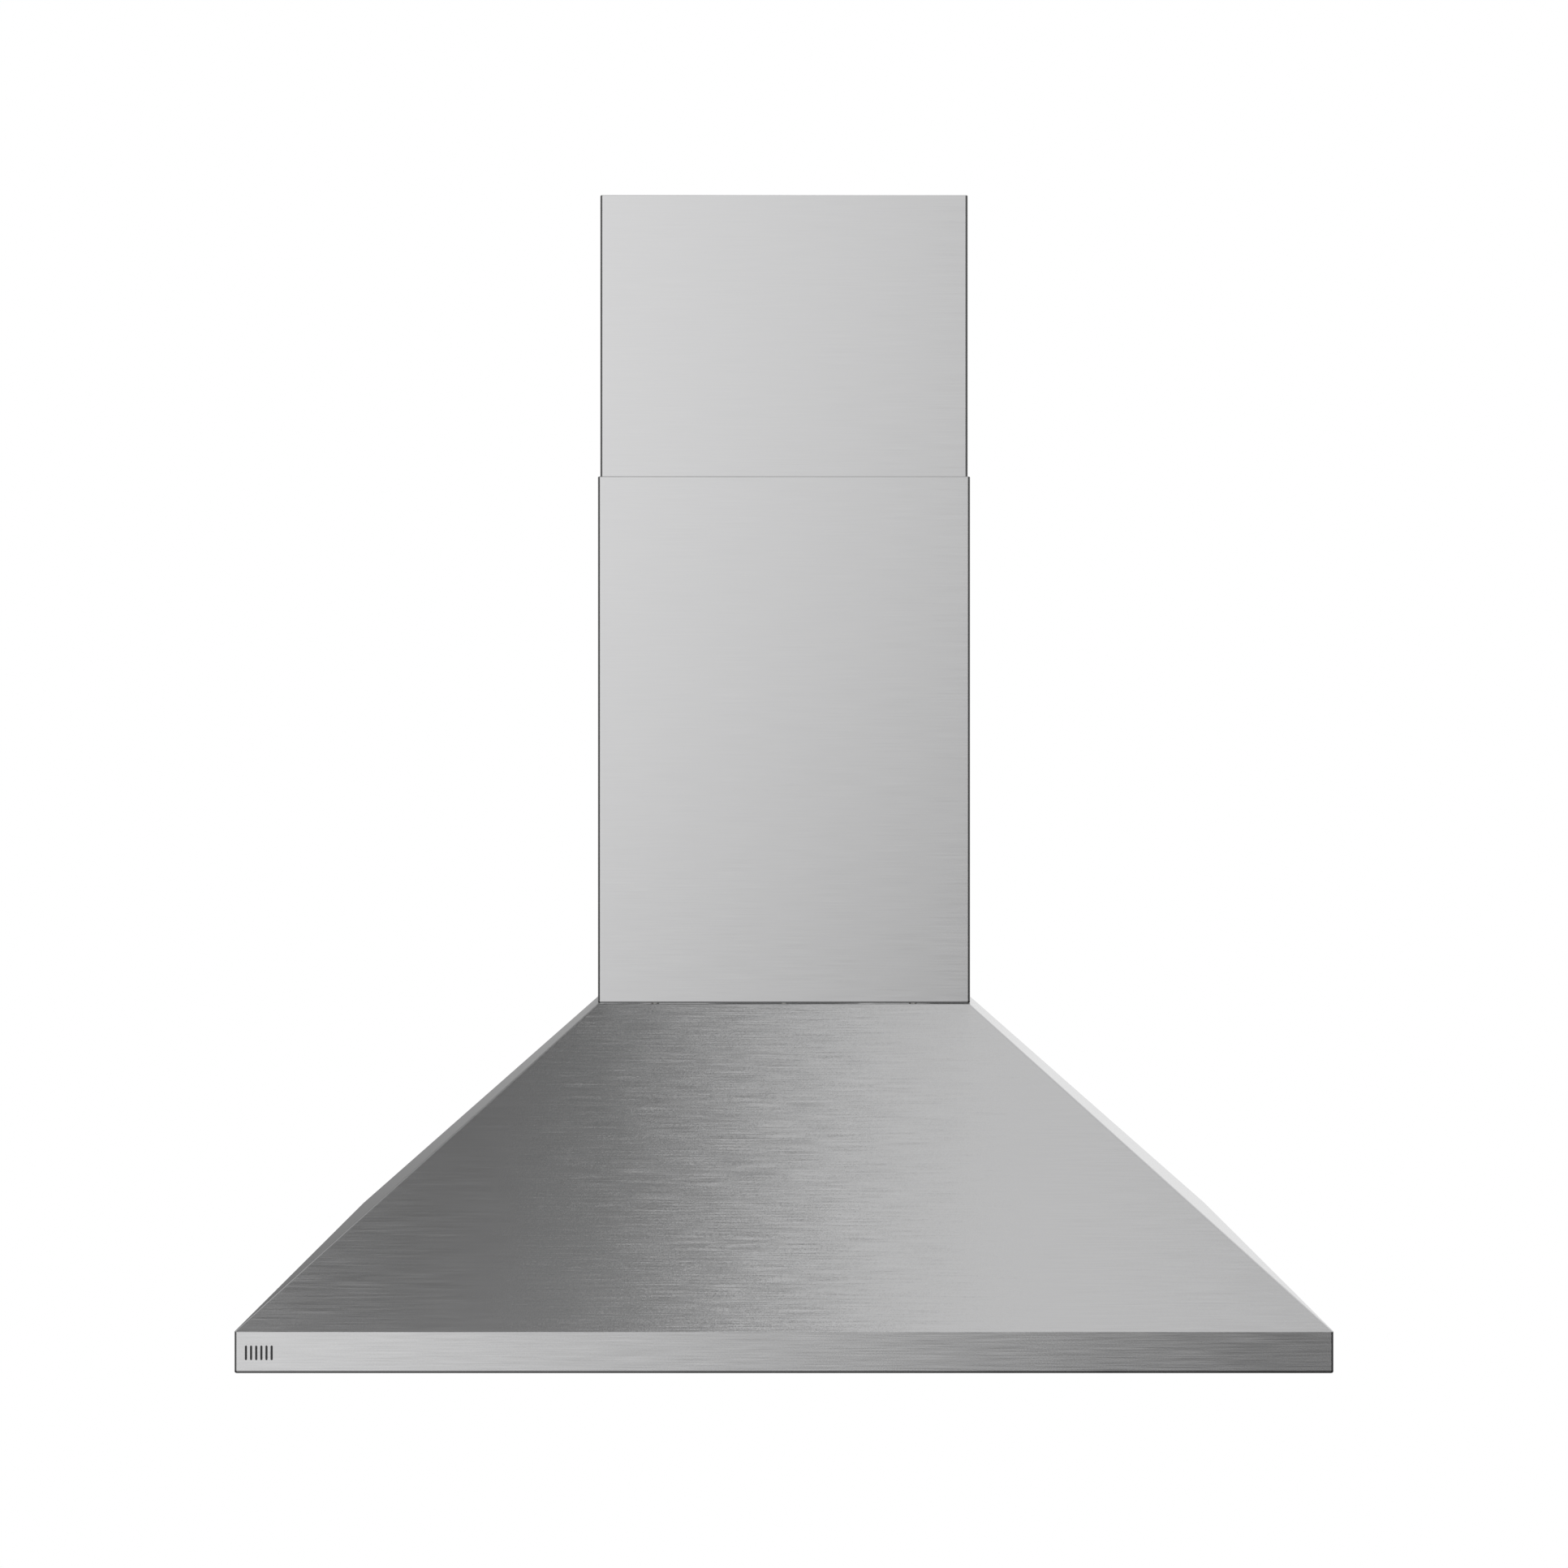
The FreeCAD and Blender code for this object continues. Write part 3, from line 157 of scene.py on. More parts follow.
def blendTones(add, factor, first, second):
    # first where the factor is 0, second where it is 1; the node's inputs 2 and 3 are plain numbers
    return add("ShaderNodeMix", {0: factor, 2: first, 3: second}, data_type="FLOAT").outputs[0]


def absolute(add, value):
    return mathNode(add, "ABSOLUTE", value)


def times(add, first, second):
    return mathNode(add, "MULTIPLY", first, second)


def minus(add, first, second):
    return mathNode(add, "SUBTRACT", first, second)


def inverse(add, mask):
    return minus(add, 1.0, mask)


def above(add, value, least):
    # 1 where the value is more than the least, 0 elsewhere
    return mathNode(add, "GREATER_THAN", value, least)


def total(add, *tones):
    result = tones[0]
    for tone in tones[1:]:
        result = mathNode(add, "ADD", result, tone)
    return result


def makeCamera():
    data = bpy.data.cameras.new("photoCamera")
    data.lens = cameraPlace["lens"]
    data.sensor_width = cameraPlace["sensor"]
    data.clip_end = cameraPlace["farthest"]
    camera = bpy.data.objects.new("photoCamera", data)
    camera.location = (0.0, -cameraPlace["distance"], cameraPlace["height"])
    camera.rotation_euler = (math.radians(90.0), 0.0, 0.0)   # level, looking along +y
    bpy.context.scene.collection.objects.link(camera)
    bpy.context.scene.camera = camera


def makeWorld():
    # white to the camera, an even fill on matt surfaces, and graded studio panels in the metal
    world = bpy.data.worlds.new("studioWorld")
    world.use_nodes = True
    bpy.context.scene.world = world
    add = newNodes(world.node_tree)
    direction = add("ShaderNodeTexCoord").outputs["Generated"]
    across, along, rise = add("ShaderNodeSeparateXYZ", {0: direction}).outputs
    panels = studioPanels
    ceiling, roomHigh, roomLow, wallSide, below = (
        total(add, *(ramp(add, across, *step) for step in panels[name]))
        for name in ("ceiling", "roomHigh", "roomLow", "wallSide", "below")
    )
    room = blendTones(add, ramp(add, rise, *panels["roomEdge"], shape="LINEAR"), roomLow, roomHigh)
    level = blendTones(add, ramp(add, along, *panels["wallEdge"]), room, wallSide)
    lower = blendTones(add, ramp(add, rise, *panels["belowEdge"]), level, below)
    # softly waving light from both sides, for the sheets that are seen from there
    reach = ramp(add, absolute(add, across), *panels["sideEdge"])
    phase = total(add, times(add, along, panels["waveAlong"]), times(add, rise, panels["waveRise"]))
    sides = times(add, reach, times(add, mathNode(add, "SINE", phase), panels["waveTone"]))
    graded = total(add, blendTones(add, ramp(add, rise, *panels["ceilingEdge"]), lower, ceiling), sides)
    graded = mathNode(add, "MAXIMUM", graded, panels["leastTone"])

    paths = add("ShaderNodeLightPath")
    toMetal = blendTones(add, paths.outputs["Is Glossy Ray"], studio["fillTone"], graded)
    toLens = mathNode(
        add, "MAXIMUM", paths.outputs["Is Camera Ray"], paths.outputs["Is Transmission Ray"]
    )
    strength = blendTones(add, toLens, toMetal, studio["backgroundTone"])
    back = add("ShaderNodeBackground", {"Color": plainWhite, "Strength": strength})
    add("ShaderNodeOutputWorld", {"Surface": back.outputs[0]})


def makeFloor():
    # a round pale floor far below the hood, white at its edge, that keeps a soft shadow
    turns = np.linspace(0.0, 2.0 * math.pi, studio["floorSides"], endpoint=False)
    rim = np.stack([np.cos(turns), np.sin(turns), np.zeros_like(turns)], axis=1) * studio["floorRadius"]
    rim[:, 2] = studio["floorHeight"]
    mesh = bpy.data.meshes.new("studioFloor")
    mesh.from_pydata(rim.tolist(), [], [tuple(range(len(turns)))])
    floor = bpy.data.objects.new("studioFloor", mesh)
    floor.visible_glossy = False   # the metal mirrors the world's panels alone
    bpy.context.scene.collection.objects.link(floor)
    material = bpy.data.materials.new("studioFloor")
    material.use_nodes = True
    add = newNodes(material.node_tree)
    tone = studio["floorTone"]
    matt = add("ShaderNodeBsdfDiffuse", {"Color": (tone, tone, tone, 1.0)})
    white = add("ShaderNodeEmission", {"Color": plainWhite, "Strength": studio["backgroundTone"]})
    flat = vectorNode(add, "MULTIPLY", add("ShaderNodeTexCoord").outputs["Object"], (1.0, 1.0, 0.0))
    start, end = studio["floorRadius"] * studio["fadeStart"], studio["floorRadius"] * studio["fadeEnd"]
    edge = ramp(add, lengthOf(add, flat), start, end, studio["floorWhite"], 1.0)
    seen = times(add, add("ShaderNodeLightPath").outputs["Is Camera Ray"], edge)
    mixed = add("ShaderNodeMixShader", {0: seen, 1: matt.outputs[0], 2: white.outputs[0]})
    under = add("ShaderNodeNewGeometry").outputs["Backfacing"]
    clear = add("ShaderNodeBsdfTransparent")   # from below, where the floor would hide the hood
    whole = add("ShaderNodeMixShader", {0: under, 1: mixed.outputs[0], 2: clear.outputs[0]})
    add("ShaderNodeOutputMaterial", {"Surface": whole.outputs[0]})
    mesh.materials.append(material)


def makeKeyLamp():
    data = bpy.data.lights.new("keyLamp", "AREA")
    data.shape = "DISK"
    data.size = studio["keySize"]
    data.energy = studio["keyPower"]
    lamp = bpy.data.objects.new("keyLamp", data)
    lamp.location = studio["keyPlace"]
    aim = Vector(studio["keyAim"]) - Vector(studio["keyPlace"])
    lamp.rotation_euler = aim.to_track_quat("-Z", "Y").to_euler()
    lamp.visible_glossy = False
    bpy.context.scene.collection.objects.link(lamp)


makeCamera()
makeWorld()
makeFloor()
makeKeyLamp()
print("stage: camera and studio")


# what the finishes share

def startMaterial(name):
    material = bpy.data.materials.new(name)
    material.use_nodes = True
    return material, newNodes(material.node_tree)


def dress(material, *names):
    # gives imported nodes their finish
    for name in names:
        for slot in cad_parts[name].material_slots:
            slot.material = material


def lowCorner(name):
    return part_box(name)[0]


def highCorner(name):
    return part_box(name)[1]


def middleOf(name):
    return [(low + high) / 2.0 for low, high in zip(*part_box(name))]


def objectPlace(add):
    return add("ShaderNodeTexCoord").outputs["Object"]


def objectFacing(add):
    return splitPlace(add, add("ShaderNodeTexCoord").outputs["Normal"])


def splitPlace(add, vector):
    return tuple(add("ShaderNodeSeparateXYZ", {0: vector}).outputs)


def joinPlace(add, x, y, z):
    return add("ShaderNodeCombineXYZ", {0: x, 1: y, 2: z}).outputs[0]


def noiseTone(add, vector, scale=1.0, detail=2.0, roughness=0.5):
    node = add("ShaderNodeTexNoise", {
        "Vector": vector, "Scale": scale, "Detail": detail, "Roughness": roughness,
    })
    return node.outputs["Fac"]


noiseSpan = (0.3, 0.7)   # nearly all of a noise's tones lie between these
noiseMiddle = 0.5


def swing(add, tone, middle, spread):
    # a noise tone turned into a value that swings about a middle
    return ramp(add, tone, *noiseSpan, middle - spread, middle + spread)


def evenSwing(add, tone, middle, spread):
    # the same for a tone that is spread evenly from 0 to 1
    return ramp(add, tone, 0.0, 1.0, middle - spread, middle + spread, "LINEAR")


def tinted(add, tone, tint):
    # a grey with a slight tint, as a colour
    parts = [times(add, tone, part) for part in tint]
    return add("ShaderNodeCombineColor", dict(enumerate(parts))).outputs[0]


def relief(add, height, depth, normal=None):
    inputs = {"Strength": 1.0, "Distance": depth, "Height": height}
    if normal is not None:
        inputs["Normal"] = normal
    return add("ShaderNodeBump", inputs).outputs[0]


def inWorld(add, vector):
    # a direction of the object, turned with it as it swings
    node = add("ShaderNodeVectorTransform", {0: vector}, vector_type="VECTOR",
               convert_from="OBJECT", convert_to="WORLD")
    return node.outputs[0]


def principled(add, inputs):
    shader = add("ShaderNodeBsdfPrincipled", inputs)
    add("ShaderNodeOutputMaterial", {"Surface": shader.outputs[0]})


# brushed stainless steel on the sheets that show

steelLook = {
    "tone": 0.76,
    "toneSwing": 0.014,
    "tint": (1.0, 1.0, 1.006),
    "roughness": 0.30,
    "roughnessSwing": 0.02,
    "anisotropy": 0.8,
    "insideRoughness": 0.55,
    "insideRise": (-0.2, -0.4), # how far a face looks down where an inner side starts and is full
    "foldHeight": 0.004,        # of the rim's lower fold
    "grainAcross": 1350.0,      # lines to the metre across the grain
    "grainAlong": 20.0,
    "grainDetail": 3.0,
    "grainDepth": 0.000004,
    "grainTilt": 0.17,          # how far a line leans its reflection sideways
    "streakAcross": 740.0,
    "streakAlong": 14.0,
    "streakDetail": 4.0,
    "streakRoughness": 0.6,
    "streakTilt": 0.08,
    "speckle": 1000.0,          # short pits between the lines
    "speckleTilt": 0.16,
    "uprightGrain": 0.75,       # how much of the lean the upright rim has
    "uprightRise": (0.1, 0.3),  # how far a face looks up where that starts to end and has ended
    "foldShadeTone": 0.14,           # painted shade: the folds are coloured darker than the sheet, for the dark reflections along the bends
    "foldRoughness": 0.16,
    "foldTurn": (0.03, 0.22),   # how far a face looks two ways where a fold starts and is full
    "foldRise": 0.3,            # a face that looks up more than this is no fold
    # fine lines of painted shade: height, half width and tone
    "footShadowLine": (0.0006, 0.0007, 0.22), # painted shadow at the lower cover's foot
    "topShadowLine": (-0.0003, 0.0005, 0.72), # painted shadow at its top edge
    "seatShadowLine": (0.0, 0.0004, 0.58),    # painted shadow on the canopy, where the cover stands on it
    "rimShadeLine": (0.0014, 0.0011, 0.30),  # painted shade on the rim's lower fold
    "leastTilt": 0.03,          # slighter parts of a face's direction are dropped
}

flatRise = 0.95         # a face that looks up or down more than this lies flat
lineFade = (0.6, 1.2)   # shares of a line's half width between which it fades out


def grainPlace(add, alongScale, acrossScale):
    # long along the brushing and fine across it: level lines on upright and sloped sheets,
    # lines along x on flat ones
    x, y, z = splitPlace(add, objectPlace(add))
    flat = above(add, absolute(add, objectFacing(add)[2]), flatRise)
    along = total(add, x, times(add, y, inverse(add, flat)))
    across = blendTones(add, flat, z, y)
    return joinPlace(add, times(add, along, alongScale), times(add, across, acrossScale), 0.0)


def foldMask(add, facing, look):
    # 1 on the round of a bend, 0 on the sheets beside it: a bend faces two ways at once
    x, y, z = splitPlace(add, facing)
    upright = absolute(add, times(add, x, y))
    downward = mathNode(add, "MINIMUM", z, 0.0)
    sides = total(add, absolute(add, x), absolute(add, y))
    under = absolute(add, times(add, downward, sides))
    steep = mathNode(add, "LESS_THAN", z, look["foldRise"])
    return ramp(add, times(add, total(add, upright, under), steep), *look["foldTurn"])


def insideMask(add, rise, level, look):
    # 1 on the inner side of the sloped sheets, which is left dull: it looks down, and lies above
    # the rim's fold
    down = times(add, ramp(add, rise, *look["insideRise"]), inverse(add, level))
    height = lowCorner("canopy_shell")[2] + look["foldHeight"]
    return times(add, down, above(add, splitPlace(add, objectPlace(add))[2], height))


def shadeLineTone(add, tone, shadeLines):
    # painted shade: the tone, darker in a fine level line at each given height, where a shadow would
    # fall: height, half width and tone
    z = splitPlace(add, objectPlace(add))[2]
    for height, half, shade in shadeLines:
        away = absolute(add, minus(add, z, height))
        tone = times(add, tone, ramp(add, away, half * lineFade[0], half * lineFade[1], shade, 1.0))
    return tone


def settled(add, vector, least):
    # a direction whose slightest parts are dropped, so that a flat sheet is flat across its thinnest
    # triangles
    parts = [
        times(add, part, above(add, absolute(add, part), least)) for part in splitPlace(add, vector)
    ]
    return vectorNode(add, "NORMALIZE", joinPlace(add, *parts))


def brushedSteel(name, look, shadeLines):
    # level brushing: fine lines in the relief, longer streaks that lean the reflection, and painted
    # shade on the folds and in fine level lines
    material, add = startMaterial(name)
    fine = noiseTone(
        add, grainPlace(add, look["grainAlong"], look["grainAcross"]), detail=look["grainDetail"]
    )
    streak = noiseTone(
        add, grainPlace(add, look["streakAlong"], look["streakAcross"]),
        detail=look["streakDetail"], roughness=look["streakRoughness"],
    )
    speckle = noiseTone(add, objectPlace(add), look["speckle"])
    both = blendTones(add, 0.5, fine, streak)
    facing = settled(add, add("ShaderNodeNewGeometry").outputs["True Normal"], look["leastTilt"])
    rise = splitPlace(add, facing)[2]
    level = above(add, absolute(add, rise), flatRise)
    inside = insideMask(add, rise, level, look)
    fold = times(add, foldMask(add, facing, look), inverse(add, inside))
    sheetTone = swing(add, both, look["tone"], look["toneSwing"])
    # painted shade: the folds and the fine level lines are darkened in the base colour
    tone = shadeLineTone(add, blendTones(add, fold, sheetTone, look["foldShadeTone"]), shadeLines)
    sheetRough = swing(add, both, look["roughness"], look["roughnessSwing"])
    rough = blendTones(add, fold, sheetRough, look["foldRoughness"])
    rough = blendTones(add, inside, rough, look["insideRoughness"])
    sideways = vectorNode(
        add, "ADD",
        vectorNode(add, "CROSS_PRODUCT", facing, (0.0, 0.0, 1.0)), joinPlace(add, level, 0.0, 0.0),
    )   # a flat sheet leans along x
    tilt = total(add, *(
        times(add, minus(add, noise, noiseMiddle), look[name])
        for noise, name in ((fine, "grainTilt"), (streak, "streakTilt"), (speckle, "speckleTilt"))
    ))
    tilt = times(add, tilt, ramp(add, rise, *look["uprightRise"], look["uprightGrain"], 1.0))
    leaned = vectorNode(add, "NORMALIZE", vectorNode(add, "ADD", facing, stretched(add, sideways, tilt)))
    upSheet = vectorNode(add, "CROSS_PRODUCT", sideways, facing)
    principled(add, {
        "Base Color": tinted(add, tone, look["tint"]),
        "Metallic": 1.0,
        "Roughness": rough,
        "Anisotropic": look["anisotropy"],
        "Tangent": upSheet,
        "Normal": relief(add, fine, look["grainDepth"], leaned),
    })
    return material


def shadeLineAt(height, line):
    # a line of painted shade from the look, its height measured from an edge of the part
    rise, half, shade = line
    return height + rise, half, shade


coverLook = dict(   # brushed finer
    steelLook, toneSwing=0.008, grainTilt=0.08, streakTilt=0.05, speckleTilt=0.05, uprightGrain=1.0
)
rimShadeLine = shadeLineAt(lowCorner("canopy_shell")[2], steelLook["rimShadeLine"])
footShadowLine = shadeLineAt(lowCorner("lower_duct_cover")[2], steelLook["footShadowLine"])
topShadowLine = shadeLineAt(highCorner("lower_duct_cover")[2], steelLook["topShadowLine"])
seatShadowLine = shadeLineAt(highCorner("canopy_shell")[2], steelLook["seatShadowLine"])
dress(brushedSteel("canopySteel", steelLook, (rimShadeLine, seatShadowLine)), "canopy_shell")
dress(brushedSteel("lowerCoverSteel", coverLook, (footShadowLine, topShadowLine)), "lower_duct_cover")
dress(brushedSteel("brushedSteel", coverLook, ()), "upper_duct_cover", "underside_pan")
print("stage: brushed steel")


# satin stainless steel of the filters, brushed along each bar

filterLook = {
    "tone": 0.70,
    "toneSwing": 0.016,
    "tint": (1.0, 1.0, 1.004),
    "roughness": 0.27,
    "roughnessSwing": 0.03,
    "anisotropy": 0.7,
    "grainAcross": 1900.0,
    "grainAlong": 13.0,
    "grainDetail": 3.0,
    "grainDepth": 0.0000015,
    "frontBar": 0.026,          # the bars at the front and rear run along x
    "rearBar": 0.012,
    "seamHalf": 0.00035,
    "seamCore": 0.6,            # the share of the half width that is fully dark
    "seamTone": 0.35,
    "seamRise": 0.9,            # seams show on faces that look up or down more than this
}


def filterSteel(name, look, seams):
    material, add = startMaterial(name)
    x, y, z = splitPlace(add, objectPlace(add))
    front = lowCorner("filter_left_frame")[1] + look["frontBar"]
    rear = highCorner("filter_left_frame")[1] - look["rearBar"]
    bar = mathNode(add, "MAXIMUM", mathNode(add, "LESS_THAN", y, front), above(add, y, rear))
    along = times(add, blendTones(add, bar, y, x), look["grainAlong"])
    across = times(add, blendTones(add, bar, x, y), look["grainAcross"])
    grainRise = times(add, z, look["grainAcross"])
    fine = noiseTone(add, joinPlace(add, along, across, grainRise), detail=look["grainDetail"])
    tone = swing(add, fine, look["tone"], look["toneSwing"])
    if seams:   # the mitred corners of the channel frame
        away = mathNode(
            add, "MINIMUM", absolute(add, minus(add, y, front)), absolute(add, minus(add, y, rear))
        )
        flat = above(add, absolute(add, objectFacing(add)[2]), look["seamRise"])
        core = look["seamHalf"] * look["seamCore"]
        seam = times(add, flat, ramp(add, away, core, look["seamHalf"], 1.0, 0.0))
        tone = times(add, tone, ramp(add, seam, 0.0, 1.0, 1.0, look["seamTone"], "LINEAR"))
    acrossWay = joinPlace(add, inverse(add, bar), bar, 0.0)
    principled(add, {
        "Base Color": tinted(add, tone, look["tint"]),
        "Metallic": 1.0,
        "Roughness": swing(add, fine, look["roughness"], look["roughnessSwing"]),
        "Anisotropic": look["anisotropy"],
        "Tangent": inWorld(add, acrossWay),
        "Normal": relief(
            add, fine, look["grainDepth"], add("ShaderNodeNewGeometry").outputs["True Normal"],
        ),
    })
    return material


dress(filterSteel("filterFrame", filterLook, True), "filter_left_frame", "filter_right_frame")
dress(
    filterSteel("filterSteel", filterLook, False),
    "filter_left_lower_baffles", "filter_left_upper_baffles", "filter_left_latch",
    "filter_right_lower_baffles", "filter_right_upper_baffles", "filter_right_latch",
)
print("stage: filter steel")


# galvanised sheet behind the canopy: zinc crystals, each a little lighter or darker

galvanisedLook = {
    "tone": 0.56,
    "toneSwing": 0.07,
    "cells": 95.0,              # crystals to the metre
    "warpCells": 2.0,           # bends of the edges to one crystal
    "warpDetail": 2.0,
    "warpReach": 0.4,           # how far an edge bends, as a share of a crystal
    "roughness": 0.40,
    "roughnessSwing": 0.08,
    "clouds": 9.0,
    "cloudDetail": 3.0,
    "cloudSwing": 0.03,
    "depth": 0.00001,
    "tint": (0.975, 0.995, 1.02),
}


def crystalSheet(name, look):
    material, add = startMaterial(name)
    place = objectPlace(add)
    warp = add("ShaderNodeTexNoise", {
        "Vector": place, "Scale": look["cells"] * look["warpCells"], "Detail": look["warpDetail"],
    }).outputs["Color"]
    bent = vectorNode(add, "ADD", place, stretched(add, warp, look["warpReach"] / look["cells"]))
    cells = add("ShaderNodeTexVoronoi", {"Vector": bent, "Scale": look["cells"]})
    shade = add("ShaderNodeSeparateColor", {0: cells.outputs["Color"]}).outputs
    clouds = noiseTone(add, place, look["clouds"], look["cloudDetail"])
    tone = total(
        add,
        evenSwing(add, shade[0], look["tone"], look["toneSwing"]),
        swing(add, clouds, 0.0, look["cloudSwing"]),
    )
    rough = evenSwing(add, shade[1], look["roughness"], look["roughnessSwing"])
    principled(add, {
        "Base Color": tinted(add, tone, look["tint"]),
        "Metallic": 1.0,
        "Roughness": rough,
        "Normal": relief(add, cells.outputs["Distance"], look["depth"]),
    })
    return material


wheelLook = dict(galvanisedLook, tone=0.60, toneSwing=0.04, cells=240.0, roughness=0.34, depth=0.000004)

dress(
    crystalSheet("galvanisedSteel", galvanisedLook),
    "back_panel", "top_plate", "scroll_wall", "scroll_plate_left", "scroll_plate_right", "motor_bracket",
    "outlet_collar", "junction_box", "junction_cover", "cover_upstand_left", "cover_upstand_right",
    "ceiling_bracket", "damper_flap_front", "damper_flap_rear",
)
dress(crystalSheet("wheelSteel", wheelLook), "impeller")
print("stage: galvanised sheet")


# turned metal: rings about the middle of each button, bezel or shaft

ringLook = {
    "tone": 0.80,
    "toneSwing": 0.03,
    "tint": (1.0, 1.0, 1.01),
    "roughness": 0.20,
    "roughnessSwing": 0.03,
    "anisotropy": 0.6,
    "rings": 4200.0,            # rings to the metre
    "depth": 0.000003,
}


def turnedMetal(name, look, fromMiddle):
    # fromMiddle gives the offset from the nearest middle, across the turning axis
    material, add = startMaterial(name)
    offset = fromMiddle(add)
    turn = times(add, lengthOf(add, offset), look["rings"])
    rings = noiseTone(add, joinPlace(add, turn, 0.0, 0.0))
    principled(add, {
        "Base Color": tinted(add, swing(add, rings, look["tone"], look["toneSwing"]), look["tint"]),
        "Metallic": 1.0,
        "Roughness": swing(add, rings, look["roughness"], look["roughnessSwing"]),
        "Anisotropic": look["anisotropy"],
        "Tangent": inWorld(add, offset),
        "Normal": relief(add, rings, look["depth"]),
    })
    return material


buttonNames = ["button_%d" % number for number in range(1, 6)]
buttonMiddles = [middleOf(name) for name in buttonNames]
buttonPitch = abs(buttonMiddles[-1][0] - buttonMiddles[0][0]) / (len(buttonNames) - 1)
lampMiddle = middleOf("lamp_right_lens")   # the left lamp mirrors it
shaftMiddle = middleOf("motor_shaft")


def fromButton(add):
    x, y = splitPlace(add, objectPlace(add))[:2]
    nearest = times(add, mathNode(add, "ROUND", mathNode(add, "DIVIDE", x, buttonPitch)), buttonPitch)
    return joinPlace(add, minus(add, x, nearest), minus(add, y, buttonMiddles[0][1]), 0.0)


def fromLamp(add):
    x, y = splitPlace(add, objectPlace(add))[:2]
    across = minus(add, absolute(add, x), abs(lampMiddle[0]))
    return joinPlace(add, across, minus(add, y, lampMiddle[1]), 0.0)


def fromShaft(add):
    y, z = splitPlace(add, objectPlace(add))[1:]
    return joinPlace(add, 0.0, minus(add, y, shaftMiddle[1]), minus(add, z, shaftMiddle[2]))


dress(turnedMetal("buttonChrome", ringLook, fromButton), *buttonNames)
dress(turnedMetal("bezelChrome", ringLook, fromLamp), "lamp_left_bezel", "lamp_right_bezel")
dress(turnedMetal("shaftSteel", dict(ringLook, tone=0.62, rings=900.0), fromShaft), "motor_shaft")
print("stage: turned metal")


# cast and pressed metal, zinc screws

castLook = {
    "tone": 0.40,
    "toneSwing": 0.04,
    "roughness": 0.50,
    "roughnessSwing": 0.06,
    "grain": 1100.0,
    "grainDetail": 3.0,
    "grainRoughness": 0.6,
    "cloudWidth": 12.0,         # clouds are as many times as broad as the grain
    "depth": 0.00005,
    "tint": (0.99, 1.0, 1.02),
}

zincLook = dict(
    castLook, tone=0.66, toneSwing=0.06, roughness=0.33, roughnessSwing=0.07, grain=420.0,
    depth=0.000008, tint=(1.0, 0.985, 0.94),
)


def grainyMetal(name, look):
    material, add = startMaterial(name)
    place = objectPlace(add)
    grain = noiseTone(add, place, look["grain"], look["grainDetail"], look["grainRoughness"])
    clouds = noiseTone(add, place, look["grain"] / look["cloudWidth"])
    both = blendTones(add, 0.5, grain, clouds)
    principled(add, {
        "Base Color": tinted(add, swing(add, both, look["tone"], look["toneSwing"]), look["tint"]),
        "Metallic": 1.0,
        "Roughness": swing(add, clouds, look["roughness"], look["roughnessSwing"]),
        "Normal": relief(add, grain, look["depth"]),
    })
    return material


dress(grainyMetal("castMetal", castLook), "lamp_left_body", "lamp_right_body", "motor")
dress(
    grainyMetal("zincPlate", zincLook),
    "deck_screws", "blower_screws", "collar_screws", "motor_screws", "junction_screws", "cover_screws",
    "bracket_screws", "filter_left_latch_rivets", "filter_right_latch_rivets", "damper_pin",
)
print("stage: cast metal and zinc")


# plastics, the switch board and the lamp lenses

blackLook = {
    "colour": (0.026, 0.026, 0.028),
    "colourSwing": 0.25,
    "roughness": 0.52,
    "roughnessSwing": 0.07,
    "grain": 1500.0,
    "cloudWidth": 14.0,         # clouds are as many times as broad as the grain
    "cloudDetail": 3.0,
    "depth": 0.00004,
}

glossLook = dict(
    blackLook, colour=(0.012, 0.012, 0.013), colourSwing=0.15, roughness=0.13, roughnessSwing=0.05,
    grain=55.0, depth=0.000006,
)

whiteLook = dict(
    blackLook, colour=(0.82, 0.82, 0.79), colourSwing=0.03, roughness=0.40, roughnessSwing=0.05,
    grain=700.0, depth=0.00001,
)


def mouldedPlastic(name, look):
    # fine moulded grain, and broad clouds of rubbed and duller gloss
    material, add = startMaterial(name)
    place = objectPlace(add)
    grain = noiseTone(add, place, look["grain"])
    clouds = noiseTone(add, place, look["grain"] / look["cloudWidth"], look["cloudDetail"])
    level = swing(add, clouds, 1.0, look["colourSwing"])
    principled(add, {
        "Base Color": tinted(add, level, look["colour"]),
        "Roughness": swing(add, clouds, look["roughness"], look["roughnessSwing"]),
        "Normal": relief(add, grain, look["depth"]),
    })
    return material


dress(mouldedPlastic("blackPlastic", blackLook), "rim_vent_insert", "control_box")
dress(mouldedPlastic("glossBlack", glossLook), "control_bezel")
whitePlastic = mouldedPlastic("whitePlastic", whiteLook)
dress(whitePlastic, "capacitor")

boardLook = {
    "thickness": 0.0016,
    "slack": 0.0001,            # below the board's underside
    "lacquer": (0.020, 0.16, 0.055),
    "lacquerShade": 0.85,       # of every other field
    "copper": (0.060, 0.27, 0.10),
    "switches": (0.02, 0.02, 0.022),
    "roughness": 0.30,
    "roughnessSwing": 0.04,
    "grain": 900.0,
    "trackWidth": 0.0007,
    "trackLength": 0.011,
    "trackRows": 0.0032,
    "trackDepth": 0.00003,
}


